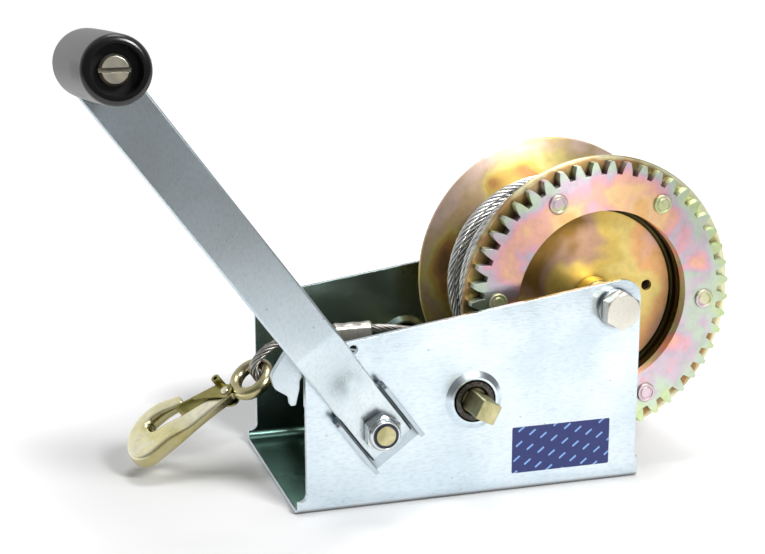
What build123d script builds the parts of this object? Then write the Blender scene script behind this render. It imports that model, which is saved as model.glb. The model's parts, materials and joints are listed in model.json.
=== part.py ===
from build123d import *
import os
from math import acos, atan2, cos, degrees, hypot, pi, radians, sin, tan

# Two-speed hand winch: a bent channel frame carries a rope drum on a fixed axle, a
# countershaft with a bare square end, and a drive shaft that the crank turns.
# Millimetres. X runs along the side plates towards the drum, Y from the crank side to
# the far side, Z up. The origin is the middle of the four base holes, on the underside.

# General fits
FIT = 0.05
RUNNING_GAP = 0.3
SIDE_PLAY = 0.5

# Frame: one sheet bent into a channel, with two side plates of sloping height
BASE_LENGTH = 192.2
BASE_REACH_CRANK = 95.0
PLATE_SETBACK_CRANK = 5.0
PLATE_SETBACK_DRUM = 4.2
FRAME_WIDTH = 120.5
SHEET = 3.0
BEND_RADIUS = 9.0
PLATE_LOW = 87.2
PLATE_HIGH = 113.9
PLATE_CORNER_DRUM = 11.0
PLATE_CORNER_CRANK = 6.0
STEP_HEIGHT_CRANK = 7.8
STEP_HEIGHT_DRUM = 12.5
BASE_CORNER_CRANK = 5.0
BASE_CORNER_DRUM = 7.0
BASE_HOLE_DIAMETER = 10.5
BASE_HOLE_PITCH_X = 80.0
BASE_HOLE_PITCH_Y = 70.0
ARCH_X = -21.0
ARCH_LENGTH = 35.0
ARCH_RISE = 1.6
SPRING_HOLE_BESIDE_PAWL = 14.8
SPRING_HOLE_ABOVE_PAWL = 7.2
SPRING_HOLE_DIAMETER = 4.6

# Gear train
MODULE = 3.0
PRESSURE_ANGLE = 20.0
RING_TEETH = 48
LAY_GEAR_TEETH = 24
PINION_TEETH = 12
BACKLASH = 0.7
ROOT_RELIEF = 0.6
RING_TOOTH_ANGLE = 170.2
GEAR_GAP = 12.4
RING_WIDTH = 6.0
LAY_GEAR_WIDTH = 8.0
DRIVE_PINION_WIDTH = 10.0
GEAR_SETBACK = 1.6

# Shaft centres, seen from the crank side; the drum hangs in the plates' high corner
DRUM_INSET = 14.8
DRUM_BELOW_TOP = 16.4
LAY_DIRECTION = 208.8
DRIVE_DIRECTION = 188.1

# Shafts and bushes
SHAFT_RADIUS = 7.0
SQUARE_FLATS = 10.5
LAY_SQUARE_TURN = 63.3
SQUARE_END = 22.0
SQUARE_RECESS = 1.5
SHAFT_TAIL = 6.0
CLIP_RADIUS = 10.2
CLIP_WIDTH = 1.5
CLIP_GROOVE = 0.5
CLIP_MOUTH = 70.0
BUSH_RADIUS = 11.25
BUSH_PROUD = 2.3
COLLAR_PROUD = 2.0
COLLAR_RADIUS = 15.5
COLLAR_TOP_RADIUS = 12.6

# Drum
FLANGE_RADIUS = 77.5
FLANGE_SHEET = 2.5
DRUM_WIDTH = 75.0
DISH_RADIUS = 49.0
DISH_DEPTH = 8.6
DISH_BEND = 1.5
BARREL_RADIUS = 30.0
BARREL_WALL = 2.5
HUB_RADIUS = 10.4
HUB_PROUD = 1.4
DISH_SEAM = 54.0
WEB_SEAM = 46.5
WINDING_REACH = 58.8
WINDING_SAG = 3.6
WINDING_TURNS = 11
WINDING_LOOSE_WIDTH = 15.25
WINDING_CORE = 52.4
WINDING_GAP = 0.4
LAST_TURN_ARC = 334.0
ANCHOR_HOLE_DIAMETER = 6.0
ANCHOR_HOLE_REACH = 33.0
ANCHOR_HOLE_ANGLE = 5.0
RIVET_COUNT = 6
RIVET_REACH = 60.4
RIVET_ANGLE = -3.0
RIVET_RADIUS = 3.6
RIVET_HEAD_RADIUS = 5.4
RIVET_HEAD_HEIGHT = 2.0

# Drum axle: a bolt through a sleeve that the side plates clamp
AXLE_BOLT_RADIUS = 6.0
AXLE_HEX_FLATS = 18.0
AXLE_HEAD_HEIGHT = 7.5
AXLE_SLEEVE_RADIUS = 8.0
AXLE_WASHER_RADIUS = 10.2
AXLE_WASHER_THICKNESS = 2.5
AXLE_NUT_HEIGHT = 12.0
AXLE_BOLT_TAIL = 2.0
SPACER_RADIUS = 10.0

# Crank
CRANK_DIRECTION = 126.4
CRANK_RADIUS = 233.4
ARM_WIDTH = 25.4
ARM_THICKNESS = 5.0
ARM_END = 10.8
ARM_OFFSET = 18.0
ARM_BEND_START = 23.0
ARM_BEND_RUN = 21.0
ARM_BEND_RADIUS = 9.0
ARM_EDGE = 0.9
CHANNEL_LENGTH = 36.0
CHANNEL_SHEET = 2.2
CHANNEL_GAP = 1.2
CHANNEL_LIP = 1.4
CRANK_THREAD_RADIUS = 5.0
CRANK_NUT_FLATS = 17.0
CRANK_NUT_HEIGHT = 10.0
CRANK_THREAD_TAIL = 0.5

# Grip and its screw
GRIP_LENGTH = 88.5
GRIP_LEAN_UP = 3.1
GRIP_LEAN_SIDE = 1.2
GRIP_RADIUS = 13.9
GRIP_BELLY = 14.8
GRIP_FOOT_RADIUS = 15.2
GRIP_RIM = 3.0
GRIP_RECESS_RADIUS = 10.2
GRIP_RECESS_DEPTH = 9.0
GRIP_SCREW_RADIUS = 4.0
GRIP_SCREW_HEAD_RADIUS = 6.4
GRIP_SCREW_HEAD_HEIGHT = 4.0
SCREW_SLOT_WIDTH = 1.8
SCREW_SLOT_DEPTH = 1.8
GRIP_WASHER_RADIUS = 7.5
GRIP_WASHER_THICKNESS = 1.2
GRIP_NUT_FLATS = 13.0
GRIP_NUT_HEIGHT = 6.5

# Pawl: a rocking plate with a toe on each side of the drive pinion
PAWL_BESIDE_DRIVE = 25.87
PAWL_ABOVE_DRIVE = 32.77
PAWL_SETBACK = 2.5
PAWL_THICKNESS = 4.0
PAWL_HUB_RADIUS = 8.6
PAWL_PINION_ROOM = 5.5
PAWL_SHOULDER_OUT = 18.0
PAWL_SHOULDER_UP = 8.2
PAWL_SHOULDER_RADIUS = 5.0
PAWL_CHEEK_OUT = 26.5
PAWL_CHEEK_DOWN = 5.0
PAWL_CHEEK_RADIUS = 6.0
PAWL_JAW_OUT = 24.5
PAWL_JAW_DOWN = 11.5
PAWL_JAW_RADIUS = 4.0
PAWL_NECK_OUT = 17.2
PAWL_NECK_DOWN = 16.2
PAWL_NECK_RADIUS = 3.0
PAWL_BEAK_OUT = 16.6
PAWL_BEAK_IN = 13.8
PAWL_BEAK_DOWN = 21.0
PAWL_BEAK_RADIUS = 0.8
PAWL_HEEL_IN = 11.8
PAWL_HEEL_DOWN = 12.5
PAWL_BACK_IN = 11.5
PAWL_TRAVEL = 13.0
PAWL_TOE_DEPTH = 16.8
PAWL_TOE_TIP = 1.4
PAWL_TOE_ROOT = 6.4
PAWL_TOE_LENGTH = 9.5
PAWL_PIN_RADIUS = 4.0
PAWL_PIN_HEAD_RADIUS = 6.6
PAWL_PIN_HEAD_HEIGHT = 1.8
PAWL_SPRING_RADIUS = 6.6
PAWL_SPRING_LENGTH = 3.6
PAWL_SPRING_WIRE = 1.2

# Rope, its crimped sleeve and the hook
ROPE_DIAMETER = 5.0
FERRULE_LENGTH = 21.0
FERRULE_WALL = 1.5
HOOK_SLOPE = 36.0
HOOK_ROLL = 19.0
HOOK_LENGTH = 77.0
HOOK_THICKNESS = 6.0
HOOK_EDGE = 1.2
HOOK_EYE_RADIUS = 10.0
HOOK_EYE_BAR = 3.5
HOOK_BACK = -2.5
HOOK_FRONT = 30.0
HOOK_BOWL_NEAR = 10.5
HOOK_BOWL_FAR = 21.0
HOOK_NECK = 4.0
HOOK_THROAT_NEAR = 11.4
HOOK_THROAT_FAR = 21.0
HOOK_SLOT_END = 60.6
HOOK_TIP = 36.8
HOOK_TIP_FAR = 26.2
LATCH_SHEET = 1.2
LATCH_GAP = 0.6
LATCH_PIN_S = 15.0
LATCH_PIN_W = 1.2
LATCH_PIN_RADIUS = 1.8
LATCH_HUB_RADIUS = 4.0
LATCH_HEEL = 7.6
LATCH_REACH = 42.0
LATCH_CURL_RADIUS = 2.4
LATCH_CURL_PROUD = 3.6

# Stations along Y and shaft centres that follow from the sizes above
FRONT = -FRAME_WIDTH / 2
BACK = FRAME_WIDTH / 2
FRONT_INSIDE = FRONT + SHEET
BACK_INSIDE = BACK - SHEET
BASE_LEFT = -BASE_REACH_CRANK
BASE_RIGHT = BASE_LEFT + BASE_LENGTH
PLATE_LEFT = BASE_LEFT + PLATE_SETBACK_CRANK
PLATE_RIGHT = BASE_RIGHT - PLATE_SETBACK_DRUM
RING_FRONT = FRONT_INSIDE + GEAR_GAP
FLANGE_FRONT = RING_FRONT + RING_WIDTH
FLANGE_BACK = FLANGE_FRONT + DRUM_WIDTH
HUB_FRONT = FLANGE_FRONT - HUB_PROUD
HUB_BACK = FLANGE_BACK + HUB_PROUD
LAY_GEAR_FRONT = FRONT_INSIDE + GEAR_SETBACK
LAY_GEAR_BACK = LAY_GEAR_FRONT + LAY_GEAR_WIDTH
LAY_PINION_BACK = FLANGE_FRONT - RUNNING_GAP
LAY_DISTANCE = MODULE * (RING_TEETH + PINION_TEETH) / 2
DRIVE_DISTANCE = MODULE * (LAY_GEAR_TEETH + PINION_TEETH) / 2
DRUM_X = PLATE_RIGHT - DRUM_INSET
DRUM_Z = PLATE_HIGH - DRUM_BELOW_TOP
DRUM_AXIS = (DRUM_X, DRUM_Z)
LAY_AXIS = (
    DRUM_X + LAY_DISTANCE * cos(radians(LAY_DIRECTION)),
    DRUM_Z + LAY_DISTANCE * sin(radians(LAY_DIRECTION)),
)
DRIVE_AXIS = (
    LAY_AXIS[0] + DRIVE_DISTANCE * cos(radians(DRIVE_DIRECTION)),
    LAY_AXIS[1] + DRIVE_DISTANCE * sin(radians(DRIVE_DIRECTION)),
)
PAWL_X = DRIVE_AXIS[0] - PAWL_BESIDE_DRIVE
PAWL_Z = DRIVE_AXIS[1] + PAWL_ABOVE_DRIVE
PAWL_AXIS = (PAWL_X, PAWL_Z)
PINION_TIP = MODULE * (PINION_TEETH + 2) / 2

# Crank stations, counted outwards from the front plate
CHANNEL_BACK = BUSH_PROUD + RUNNING_GAP
ARM_BACK = CHANNEL_BACK + CHANNEL_SHEET
ARM_FRONT = ARM_BACK + ARM_THICKNESS
GRIP_LEAN = hypot(tan(radians(GRIP_LEAN_UP)), tan(radians(GRIP_LEAN_SIDE)))
GRIP_SEAT_GAP = GRIP_WASHER_RADIUS * GRIP_LEAN + FIT
GRIP_START = GRIP_FOOT_RADIUS * GRIP_LEAN + RUNNING_GAP
GRIP_END = GRIP_START + GRIP_LENGTH


def slab(sketch, y_from, y_to):
    """A sketch of the XZ plane, as thick as the stretch between two Y stations."""
    return extrude(Plane.XZ.offset(-y_from) * sketch, amount=y_to - y_from, dir=(0, 1, 0))


def disc(axis, radius, y_from, y_to, bore=0.0):
    """A round plate or tube on a shaft centre, between two Y stations."""
    sketch = Circle(radius)
    if bore > 0:
        sketch = sketch - Circle(bore)
    return slab(Pos(*axis) * sketch, y_from, y_to)


def turned(axis, outline):
    """A solid of revolution about a shaft centre, from (radius, y) points."""
    face = make_face(Polyline(*outline, close=True))
    return Pos(axis[0], 0, axis[1]) * revolve(face, Axis.Y)


def around(axis, reach, angle):
    """A point at a reach and angle from a shaft centre, seen from the crank side."""
    return (axis[0] + reach * cos(radians(angle)), axis[1] + reach * sin(radians(angle)))


def hex_blank(axis, flats, y_from, y_to):
    """A hexagon with its corners chamfered at both ends, as on a bolt head or nut."""
    corner = flats / 3 ** 0.5
    bevel = (corner - flats / 2) * tan(radians(30))
    sketch = RegularPolygon(flats / 2, 6, major_radius=False, rotation=90)
    lens = turned(axis, [
        (0, y_from), (flats / 2, y_from), (corner, y_from + bevel),
        (corner, y_to - bevel), (flats / 2, y_to), (0, y_to),
    ])
    return slab(Pos(*axis) * sketch, y_from, y_to) & lens


def square_bar(axis, flats, corner_radius, turn, y_from, y_to):
    """A square shaft end whose corners are turned down to a round."""
    sketch = Rot(0, 0, turn) * Rectangle(flats, flats) & Circle(corner_radius)
    return slab(Pos(*axis) * sketch, y_from, y_to)


def tooth_half_angle(teeth, radius):
    """Half the angle of one involute tooth, in radians, at a radius."""
    pitch = MODULE * teeth / 2
    base = pitch * cos(radians(PRESSURE_ANGLE))
    slope = acos(min(1.0, base / radius))
    pitch_slope = radians(PRESSURE_ANGLE)
    thickness = pi * MODULE / 2 - BACKLASH / 2
    involute = (tan(pitch_slope) - pitch_slope) - (tan(slope) - slope)
    return thickness / (2 * pitch) + involute


def gear_face(teeth, first_tooth):
    """A spur gear's outline; one tooth points at the angle first_tooth, in degrees."""
    tip = MODULE * (teeth + 2) / 2
    root = MODULE * (teeth - 2.5) / 2
    base = MODULE * teeth / 2 * cos(radians(PRESSURE_ANGLE))
    start = max(base, root)
    middle = (start + tip) / 2
    half_tip = tooth_half_angle(teeth, tip)
    half_middle = tooth_half_angle(teeth, middle)
    half_start = tooth_half_angle(teeth, start)
    half_root = half_start - (ROOT_RELIEF / root if base > root else 0)
    step = 2 * pi / teeth
    edges = []
    for index in range(teeth):
        axis = radians(first_tooth) + index * step

        def at(radius, angle):
            return (radius * cos(axis + angle), radius * sin(axis + angle))

        if base > root:
            edges.append(Line(at(root, -half_root), at(start, -half_start)))
            edges.append(Line(at(start, half_start), at(root, half_root)))
        rising = (at(start, -half_start), at(middle, -half_middle), at(tip, -half_tip))
        falling = (at(tip, half_tip), at(middle, half_middle), at(start, half_start))
        edges.append(ThreePointArc(*rising))
        edges.append(ThreePointArc(at(tip, -half_tip), at(tip, 0), at(tip, half_tip)))
        edges.append(ThreePointArc(*falling))
        edges.append(ThreePointArc(at(root, half_root), at(root, step / 2), at(root, step - half_root)))
    return make_face(Curve() + edges)


def meshed_angle(teeth, first_tooth, direction, partner_teeth):
    """The first-tooth angle of a pinion that meshes with a gear in a direction."""
    pitch = 360 / teeth
    share = ((direction - first_tooth) / pitch) % 1
    partner_pitch = 360 / partner_teeth
    return direction + 180 + (share + 0.5) * partner_pitch


LAY_PINION_ANGLE = meshed_angle(RING_TEETH, RING_TOOTH_ANGLE, LAY_DIRECTION, PINION_TEETH)
PAWL_BEARING = degrees(atan2(PAWL_Z - DRIVE_AXIS[1], PAWL_X - DRIVE_AXIS[0]))
PAWL_REACH = hypot(PAWL_X - DRIVE_AXIS[0], PAWL_Z - DRIVE_AXIS[1])
TOE_SPREAD = 360 / PINION_TEETH
DRIVE_PINION_ANGLE = PAWL_BEARING + TOE_SPREAD + 180 / PINION_TEETH
LAY_GEAR_ANGLE = meshed_angle(PINION_TEETH, DRIVE_PINION_ANGLE, DRIVE_DIRECTION - 180, LAY_GEAR_TEETH)


def make_frame():
    inside = FRAME_WIDTH - 2 * SHEET
    outer = Rectangle(FRAME_WIDTH, PLATE_HIGH, align=(Align.CENTER, Align.MIN))
    inner = Pos(0, SHEET) * Rectangle(inside, PLATE_HIGH, align=(Align.CENTER, Align.MIN))
    outer = fillet(outer.vertices().group_by(Axis.Y)[0], BEND_RADIUS)
    inner = fillet(inner.vertices().group_by(Axis.Y)[0], BEND_RADIUS - SHEET)
    channel = extrude(Plane.YZ.offset(BASE_LEFT) * (outer - inner), amount=BASE_LENGTH)
    side = make_face(FilletPolyline(
        (BASE_LEFT, 0), (BASE_RIGHT, 0), (BASE_RIGHT, STEP_HEIGHT_DRUM), (PLATE_RIGHT, STEP_HEIGHT_DRUM),
        (PLATE_RIGHT, PLATE_HIGH), (PLATE_LEFT, PLATE_LOW), (PLATE_LEFT, STEP_HEIGHT_CRANK),
        (BASE_LEFT, STEP_HEIGHT_CRANK),
        radius=[
            0, 0, 0.3 * PLATE_SETBACK_DRUM, 0.3 * PLATE_SETBACK_DRUM, PLATE_CORNER_DRUM,
            PLATE_CORNER_CRANK, 0.8 * PLATE_SETBACK_CRANK, 0.15 * PLATE_SETBACK_CRANK,
        ],
        close=True,
    ))
    plan = make_face(FilletPolyline(
        (BASE_LEFT, FRONT), (BASE_RIGHT, FRONT), (BASE_RIGHT, BACK), (BASE_LEFT, BACK),
        radius=[BASE_CORNER_CRANK, BASE_CORNER_DRUM, BASE_CORNER_DRUM, BASE_CORNER_CRANK],
        close=True,
    ))
    body = channel & slab(side, FRONT, BACK) & extrude(plan, amount=PLATE_HIGH)
    for axis in (LAY_AXIS, DRIVE_AXIS):
        for face_y in (FRONT, BACK_INSIDE):
            body += turned(axis, [
                (BUSH_RADIUS, face_y - COLLAR_PROUD), (COLLAR_TOP_RADIUS, face_y - COLLAR_PROUD),
                (COLLAR_RADIUS, face_y), (COLLAR_RADIUS, face_y + SHEET / 2),
                (BUSH_RADIUS, face_y + SHEET / 2),
            ])
        body -= disc(axis, BUSH_RADIUS + FIT, FRONT - 2 * COLLAR_PROUD, BACK + SHEET)
    body -= disc(DRUM_AXIS, AXLE_BOLT_RADIUS + FIT, FRONT - SHEET, BACK + SHEET)
    body -= disc(PAWL_AXIS, PAWL_PIN_RADIUS + FIT, FRONT - SHEET, FRONT_INSIDE + SHEET)
    spring_hole = (PAWL_X + SPRING_HOLE_BESIDE_PAWL, PAWL_Z + SPRING_HOLE_ABOVE_PAWL)
    body -= disc(spring_hole, SPRING_HOLE_DIAMETER / 2, FRONT - SHEET, FRONT_INSIDE + SHEET)
    for hole in GridLocations(BASE_HOLE_PITCH_X, BASE_HOLE_PITCH_Y, 2, 2):
        body -= hole * Cylinder(BASE_HOLE_DIAMETER / 2, 4 * SHEET)
    arch_radius = (ARCH_LENGTH ** 2 / 4 + ARCH_RISE ** 2) / (2 * ARCH_RISE)
    arch_axis = (ARCH_X, ARCH_RISE - arch_radius)
    body -= disc(arch_axis, arch_radius, FRONT - SHEET, FRONT + BEND_RADIUS)
    return body


def make_bush(axis, plate_front):
    y_from = plate_front - BUSH_PROUD
    y_to = plate_front + SHEET + SIDE_PLAY
    return disc(axis, BUSH_RADIUS, y_from, y_to, SHAFT_RADIUS + FIT)


def make_axle_bolt():
    head_back = FRONT - AXLE_WASHER_THICKNESS
    tail = BACK + AXLE_WASHER_THICKNESS + AXLE_NUT_HEIGHT + AXLE_BOLT_TAIL
    head = hex_blank(DRUM_AXIS, AXLE_HEX_FLATS, head_back - AXLE_HEAD_HEIGHT, head_back)
    return head + disc(DRUM_AXIS, AXLE_BOLT_RADIUS, head_back, tail)


def make_axle_washers():
    bore = AXLE_BOLT_RADIUS + FIT
    front = disc(DRUM_AXIS, AXLE_WASHER_RADIUS, FRONT - AXLE_WASHER_THICKNESS, FRONT, bore)
    back = disc(DRUM_AXIS, AXLE_WASHER_RADIUS, BACK, BACK + AXLE_WASHER_THICKNESS, bore)
    return Compound([*front.solids(), *back.solids()])


def lock_nut(axis, flats, thread_radius, near, far):
    """A lock nut from its seat at near to its crown at far, without its insert."""
    low, high = min(near, far), max(near, far)
    height = high - low
    crown = 0.26 * height
    toward = 1 if far > near else -1
    shoulder = far - toward * crown
    hexagon = hex_blank(axis, flats, min(near, shoulder), max(near, shoulder))
    collar = turned(axis, [
        (0, shoulder), (0.49 * flats, shoulder), (0.46 * flats, far - toward * crown / 3),
        (0.42 * flats, far), (0, far),
    ])
    pocket = disc(axis, 0.385 * flats, min(shoulder, far), max(shoulder, far))
    return hexagon + collar - pocket - disc(axis, thread_radius + FIT, low - 1, high + 1)


def lock_insert(axis, flats, thread_radius, near, far):
    """The ring pressed into a lock nut's crown."""
    crown = 0.26 * (far - near)
    seat = far - crown
    top = far - crown / 5
    return disc(axis, 0.385 * flats - FIT, min(seat, top), max(seat, top), thread_radius + FIT)


def make_axle_sleeve():
    return disc(DRUM_AXIS, AXLE_SLEEVE_RADIUS, FRONT_INSIDE, BACK_INSIDE, AXLE_BOLT_RADIUS + FIT)


def make_drum_spacer(y_from, y_to):
    return disc(DRUM_AXIS, SPACER_RADIUS, y_from, y_to, AXLE_SLEEVE_RADIUS + FIT)


def make_flange(face, inward):
    """A pressed flange; inward is the way its dished centre goes along Y."""
    sheet = inward * FLANGE_SHEET
    depth = inward * DISH_DEPTH
    wall = DISH_RADIUS + FLANGE_SHEET
    outside = DISH_BEND + FLANGE_SHEET
    section = FilletPolyline(
        (FLANGE_RADIUS, face), (FLANGE_RADIUS, face + sheet), (wall, face + sheet),
        (wall, face + depth + sheet), (HUB_RADIUS + FIT, face + depth + sheet),
        (HUB_RADIUS + FIT, face + depth), (DISH_RADIUS, face + depth), (DISH_RADIUS, face),
        radius=[0.6, 0.6, DISH_BEND, outside, 0, 0, DISH_BEND, outside],
        close=True,
    )
    body = Pos(DRUM_X, 0, DRUM_Z) * revolve(make_face(section), Axis.Y)
    anchor = around(DRUM_AXIS, ANCHOR_HOLE_REACH, ANCHOR_HOLE_ANGLE)
    low, high = sorted((face, face + depth + 2 * sheet))
    return body - disc(anchor, ANCHOR_HOLE_DIAMETER / 2, low, high)


def rivet_places():
    step = 360 / RIVET_COUNT
    return [around(DRUM_AXIS, RIVET_REACH, RIVET_ANGLE + step * i) for i in range(RIVET_COUNT)]


def flange_pieces(face, inward):
    """A flange as its flat rim, the drawn wall of its dish and the dish's flat web."""
    body = make_flange(face, inward)
    low, high = sorted((face - inward, face + inward * (DISH_DEPTH + FLANGE_SHEET + 1)))
    inside = disc(DRUM_AXIS, DISH_SEAM, low, high)
    middle = disc(DRUM_AXIS, WEB_SEAM, low, high)
    rim = body - inside
    if inward > 0:
        for place in rivet_places():
            rim -= disc(place, RIVET_RADIUS + FIT, low, high)
    return rim, (body & inside) - middle, body & middle


def make_barrel():
    y_from = FLANGE_FRONT + DISH_DEPTH + FLANGE_SHEET
    y_to = FLANGE_BACK - DISH_DEPTH - FLANGE_SHEET
    return disc(DRUM_AXIS, BARREL_RADIUS, y_from, y_to, BARREL_RADIUS - BARREL_WALL)


def make_hub():
    return disc(DRUM_AXIS, HUB_RADIUS, HUB_FRONT, HUB_BACK, AXLE_SLEEVE_RADIUS + FIT)


def make_ring_gear():
    outline = gear_face(RING_TEETH, RING_TOOTH_ANGLE) - Circle(DISH_RADIUS)
    body = slab(Pos(*DRUM_AXIS) * outline, RING_FRONT, FLANGE_FRONT)
    for place in rivet_places():
        body -= disc(place, RIVET_RADIUS + FIT, RING_FRONT - 1, FLANGE_FRONT + 1)
    return body


def make_gear_rivets():
    head = RING_FRONT - RIVET_HEAD_HEIGHT
    tail = FLANGE_FRONT + FLANGE_SHEET
    rivets = []
    for place in rivet_places():
        rivet = turned(place, [
            (0, head), (0.6 * RIVET_HEAD_RADIUS, head),
            (0.9 * RIVET_HEAD_RADIUS, head + RIVET_HEAD_HEIGHT / 2), (RIVET_HEAD_RADIUS, RING_FRONT),
            (RIVET_RADIUS, RING_FRONT), (RIVET_RADIUS, tail), (0, tail),
        ])
        rivets.extend(rivet.solids())
    return Compound(rivets)


def rope_section(y):
    """The round section of one turn on the drum, as (radius, y)."""
    return Pos(WINDING_REACH, y) * Circle(ROPE_DIAMETER / 2)


def hung(section):
    """Wound rope, turned about a line a little below the drum's axle because it hangs slack."""
    return Pos(DRUM_X, 0, DRUM_Z - WINDING_SAG) * revolve(section, Axis.Y)


def winding_pieces():
    """The close turns over the barrel, those round the front dish, and the one by the rear flange."""
    rim_front = FLANGE_FRONT + FLANGE_SHEET + WINDING_GAP
    rim_back = FLANGE_BACK - FLANGE_SHEET - WINDING_GAP
    dish_front = rim_front + DISH_DEPTH
    dish_back = rim_back - DISH_DEPTH
    first = rim_front + ROPE_DIAMETER / 2
    last = rim_back - WINDING_LOOSE_WIDTH
    pitch = (last - first) / (WINDING_TURNS - 1)
    face_front = rim_front + 0.1 * ROPE_DIAMETER
    face_back = last + 0.4 * ROPE_DIAMETER
    section = make_face(Polyline(
        (WINDING_CORE / 3, face_front), (WINDING_REACH, face_front),
        (WINDING_REACH, face_back), (WINDING_CORE / 3, face_back), close=True,
    ))
    for index in range(WINDING_TURNS):
        section += rope_section(first + index * pitch)
    body = hung(section) + disc(DRUM_AXIS, WINDING_CORE, last, dish_back)
    body -= disc(DRUM_AXIS, BARREL_RADIUS + FIT, rim_front - 1, rim_back)
    body -= disc(DRUM_AXIS, DISH_RADIUS + FLANGE_SHEET + DISH_BEND + WINDING_GAP, rim_front - 1, dish_front)
    front = disc(DRUM_AXIS, FLANGE_RADIUS, rim_front - 1, dish_front)
    return body - front, body & front, hung(rope_section(rim_back - ROPE_DIAMETER / 2))


def clip_groove(axis):
    """The groove that a retaining clip sits in, behind the rear bush."""
    seat = BACK + SIDE_PLAY + RUNNING_GAP
    return disc(axis, SHAFT_RADIUS + 1, seat, seat + CLIP_WIDTH, SHAFT_RADIUS - CLIP_GROOVE)


def make_clip(axis):
    seat = BACK + SIDE_PLAY + RUNNING_GAP
    body = disc(axis, CLIP_RADIUS, seat, seat + CLIP_WIDTH, SHAFT_RADIUS - CLIP_GROOVE + FIT)
    reach = 2 * CLIP_RADIUS
    side = reach * tan(radians(CLIP_MOUTH / 2))
    mouth = make_face(Polyline((0, 0), (-side, -reach), (side, -reach), close=True))
    return body - slab(Pos(*axis) * mouth, seat - 1, seat + CLIP_WIDTH + 1)


def make_layshaft():
    round_front = FRONT - BUSH_PROUD + SQUARE_RECESS
    body = disc(LAY_AXIS, SHAFT_RADIUS, round_front, BACK + SHAFT_TAIL)
    tip = FRONT - SQUARE_END
    body += square_bar(LAY_AXIS, SQUARE_FLATS, SHAFT_RADIUS, LAY_SQUARE_TURN, tip, round_front)
    return body - clip_groove(LAY_AXIS)


def make_gear(axis, teeth, first_tooth, y_from, y_to):
    outline = gear_face(teeth, first_tooth) - Circle(SHAFT_RADIUS + FIT)
    return slab(Pos(*axis) * outline, y_from, y_to)


def make_drive_shaft():
    round_front = FRONT - CHANNEL_BACK + RUNNING_GAP
    thread_end = FRONT - ARM_FRONT - CRANK_NUT_HEIGHT - CRANK_THREAD_TAIL
    body = disc(DRIVE_AXIS, SHAFT_RADIUS, round_front, BACK + SHAFT_TAIL)
    square_end = FRONT - ARM_FRONT + FIT
    body += square_bar(DRIVE_AXIS, SQUARE_FLATS, SHAFT_RADIUS, CRANK_DIRECTION, square_end, round_front)
    body += disc(DRIVE_AXIS, CRANK_THREAD_RADIUS, thread_end, round_front)
    return body - clip_groove(DRIVE_AXIS)


def crank_plane():
    """Local X along the arm, local Y across it, local Z outwards from the front plate."""
    along = (cos(radians(CRANK_DIRECTION)), 0, sin(radians(CRANK_DIRECTION)))
    return Plane(origin=(DRIVE_AXIS[0], FRONT, DRIVE_AXIS[1]), x_dir=along, z_dir=(0, -1, 0))


def square_hole(height):
    sketch = Rectangle(SQUARE_FLATS + 2 * FIT, SQUARE_FLATS + 2 * FIT) & Circle(SHAFT_RADIUS + FIT)
    return extrude(sketch, amount=height)


def make_crank_channel():
    inside = ARM_WIDTH + 2 * CHANNEL_GAP
    outside = inside + 2 * CHANNEL_SHEET
    height = CHANNEL_SHEET + ARM_THICKNESS + CHANNEL_LIP
    on_floor = (Align.CENTER, Align.CENTER, Align.MIN)
    blank = Pos(0, 0, CHANNEL_BACK) * Box(CHANNEL_LENGTH, outside, height, align=on_floor)
    bottom_edges = blank.edges().filter_by(Axis.X).group_by(Axis.Z)[0]
    blank = fillet(bottom_edges, CHANNEL_SHEET)
    top_ends = blank.edges().filter_by(Axis.Y).group_by(Axis.Z)[-1]
    blank = fillet(top_ends, CHANNEL_SHEET)
    trough = Pos(0, 0, ARM_BACK) * Box(2 * CHANNEL_LENGTH, inside, 2 * height, align=on_floor)
    body = blank - trough - square_hole(2 * ARM_FRONT)
    return crank_plane() * body


def make_crank_arm():
    middle = ARM_BACK + ARM_THICKNESS / 2
    bend_end = ARM_BEND_START + ARM_BEND_RUN
    tip = CRANK_RADIUS + ARM_WIDTH / 2
    path = FilletPolyline(
        (-ARM_END, middle), (ARM_BEND_START, middle),
        (bend_end, middle + ARM_OFFSET), (tip, middle + ARM_OFFSET),
        radius=ARM_BEND_RADIUS,
    )
    band = extrude(Plane.XZ * trace(path, line_width=ARM_THICKNESS), amount=ARM_WIDTH / 2, both=True)
    outline = Pos((CRANK_RADIUS - ARM_END) / 2, 0) * Rectangle(CRANK_RADIUS + ARM_END, ARM_WIDTH)
    outline += Pos(CRANK_RADIUS, 0) * Circle(ARM_WIDTH / 2)
    body = band & extrude(outline, amount=2 * (ARM_FRONT + ARM_OFFSET))
    long_edges = body.edges().filter_by(Axis.X).filter_by(lambda e: e.length > CRANK_RADIUS / 2)
    body = fillet(long_edges, ARM_EDGE)
    body -= square_hole(ARM_FRONT + ARM_THICKNESS)
    return crank_plane() * body - grip_plane() * Cylinder(GRIP_SCREW_RADIUS + FIT, 4 * ARM_THICKNESS)


def grip_plane():
    """Local Z outwards along the grip's own axis, from the front face of the arm's end."""
    end = crank_plane().from_local_coords((CRANK_RADIUS, 0, ARM_FRONT + ARM_OFFSET))
    outward = Vector(tan(radians(GRIP_LEAN_SIDE)), -1, tan(radians(GRIP_LEAN_UP)))
    return Plane(origin=end, x_dir=(1, 0, 0), z_dir=outward)


def grip_turned(outline):
    """A solid of revolution about the grip's axis, from (radius, outward) points."""
    face = make_face(Polyline(*outline, close=True))
    return grip_plane() * revolve(Plane.XZ * face, Axis.Z)


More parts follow.
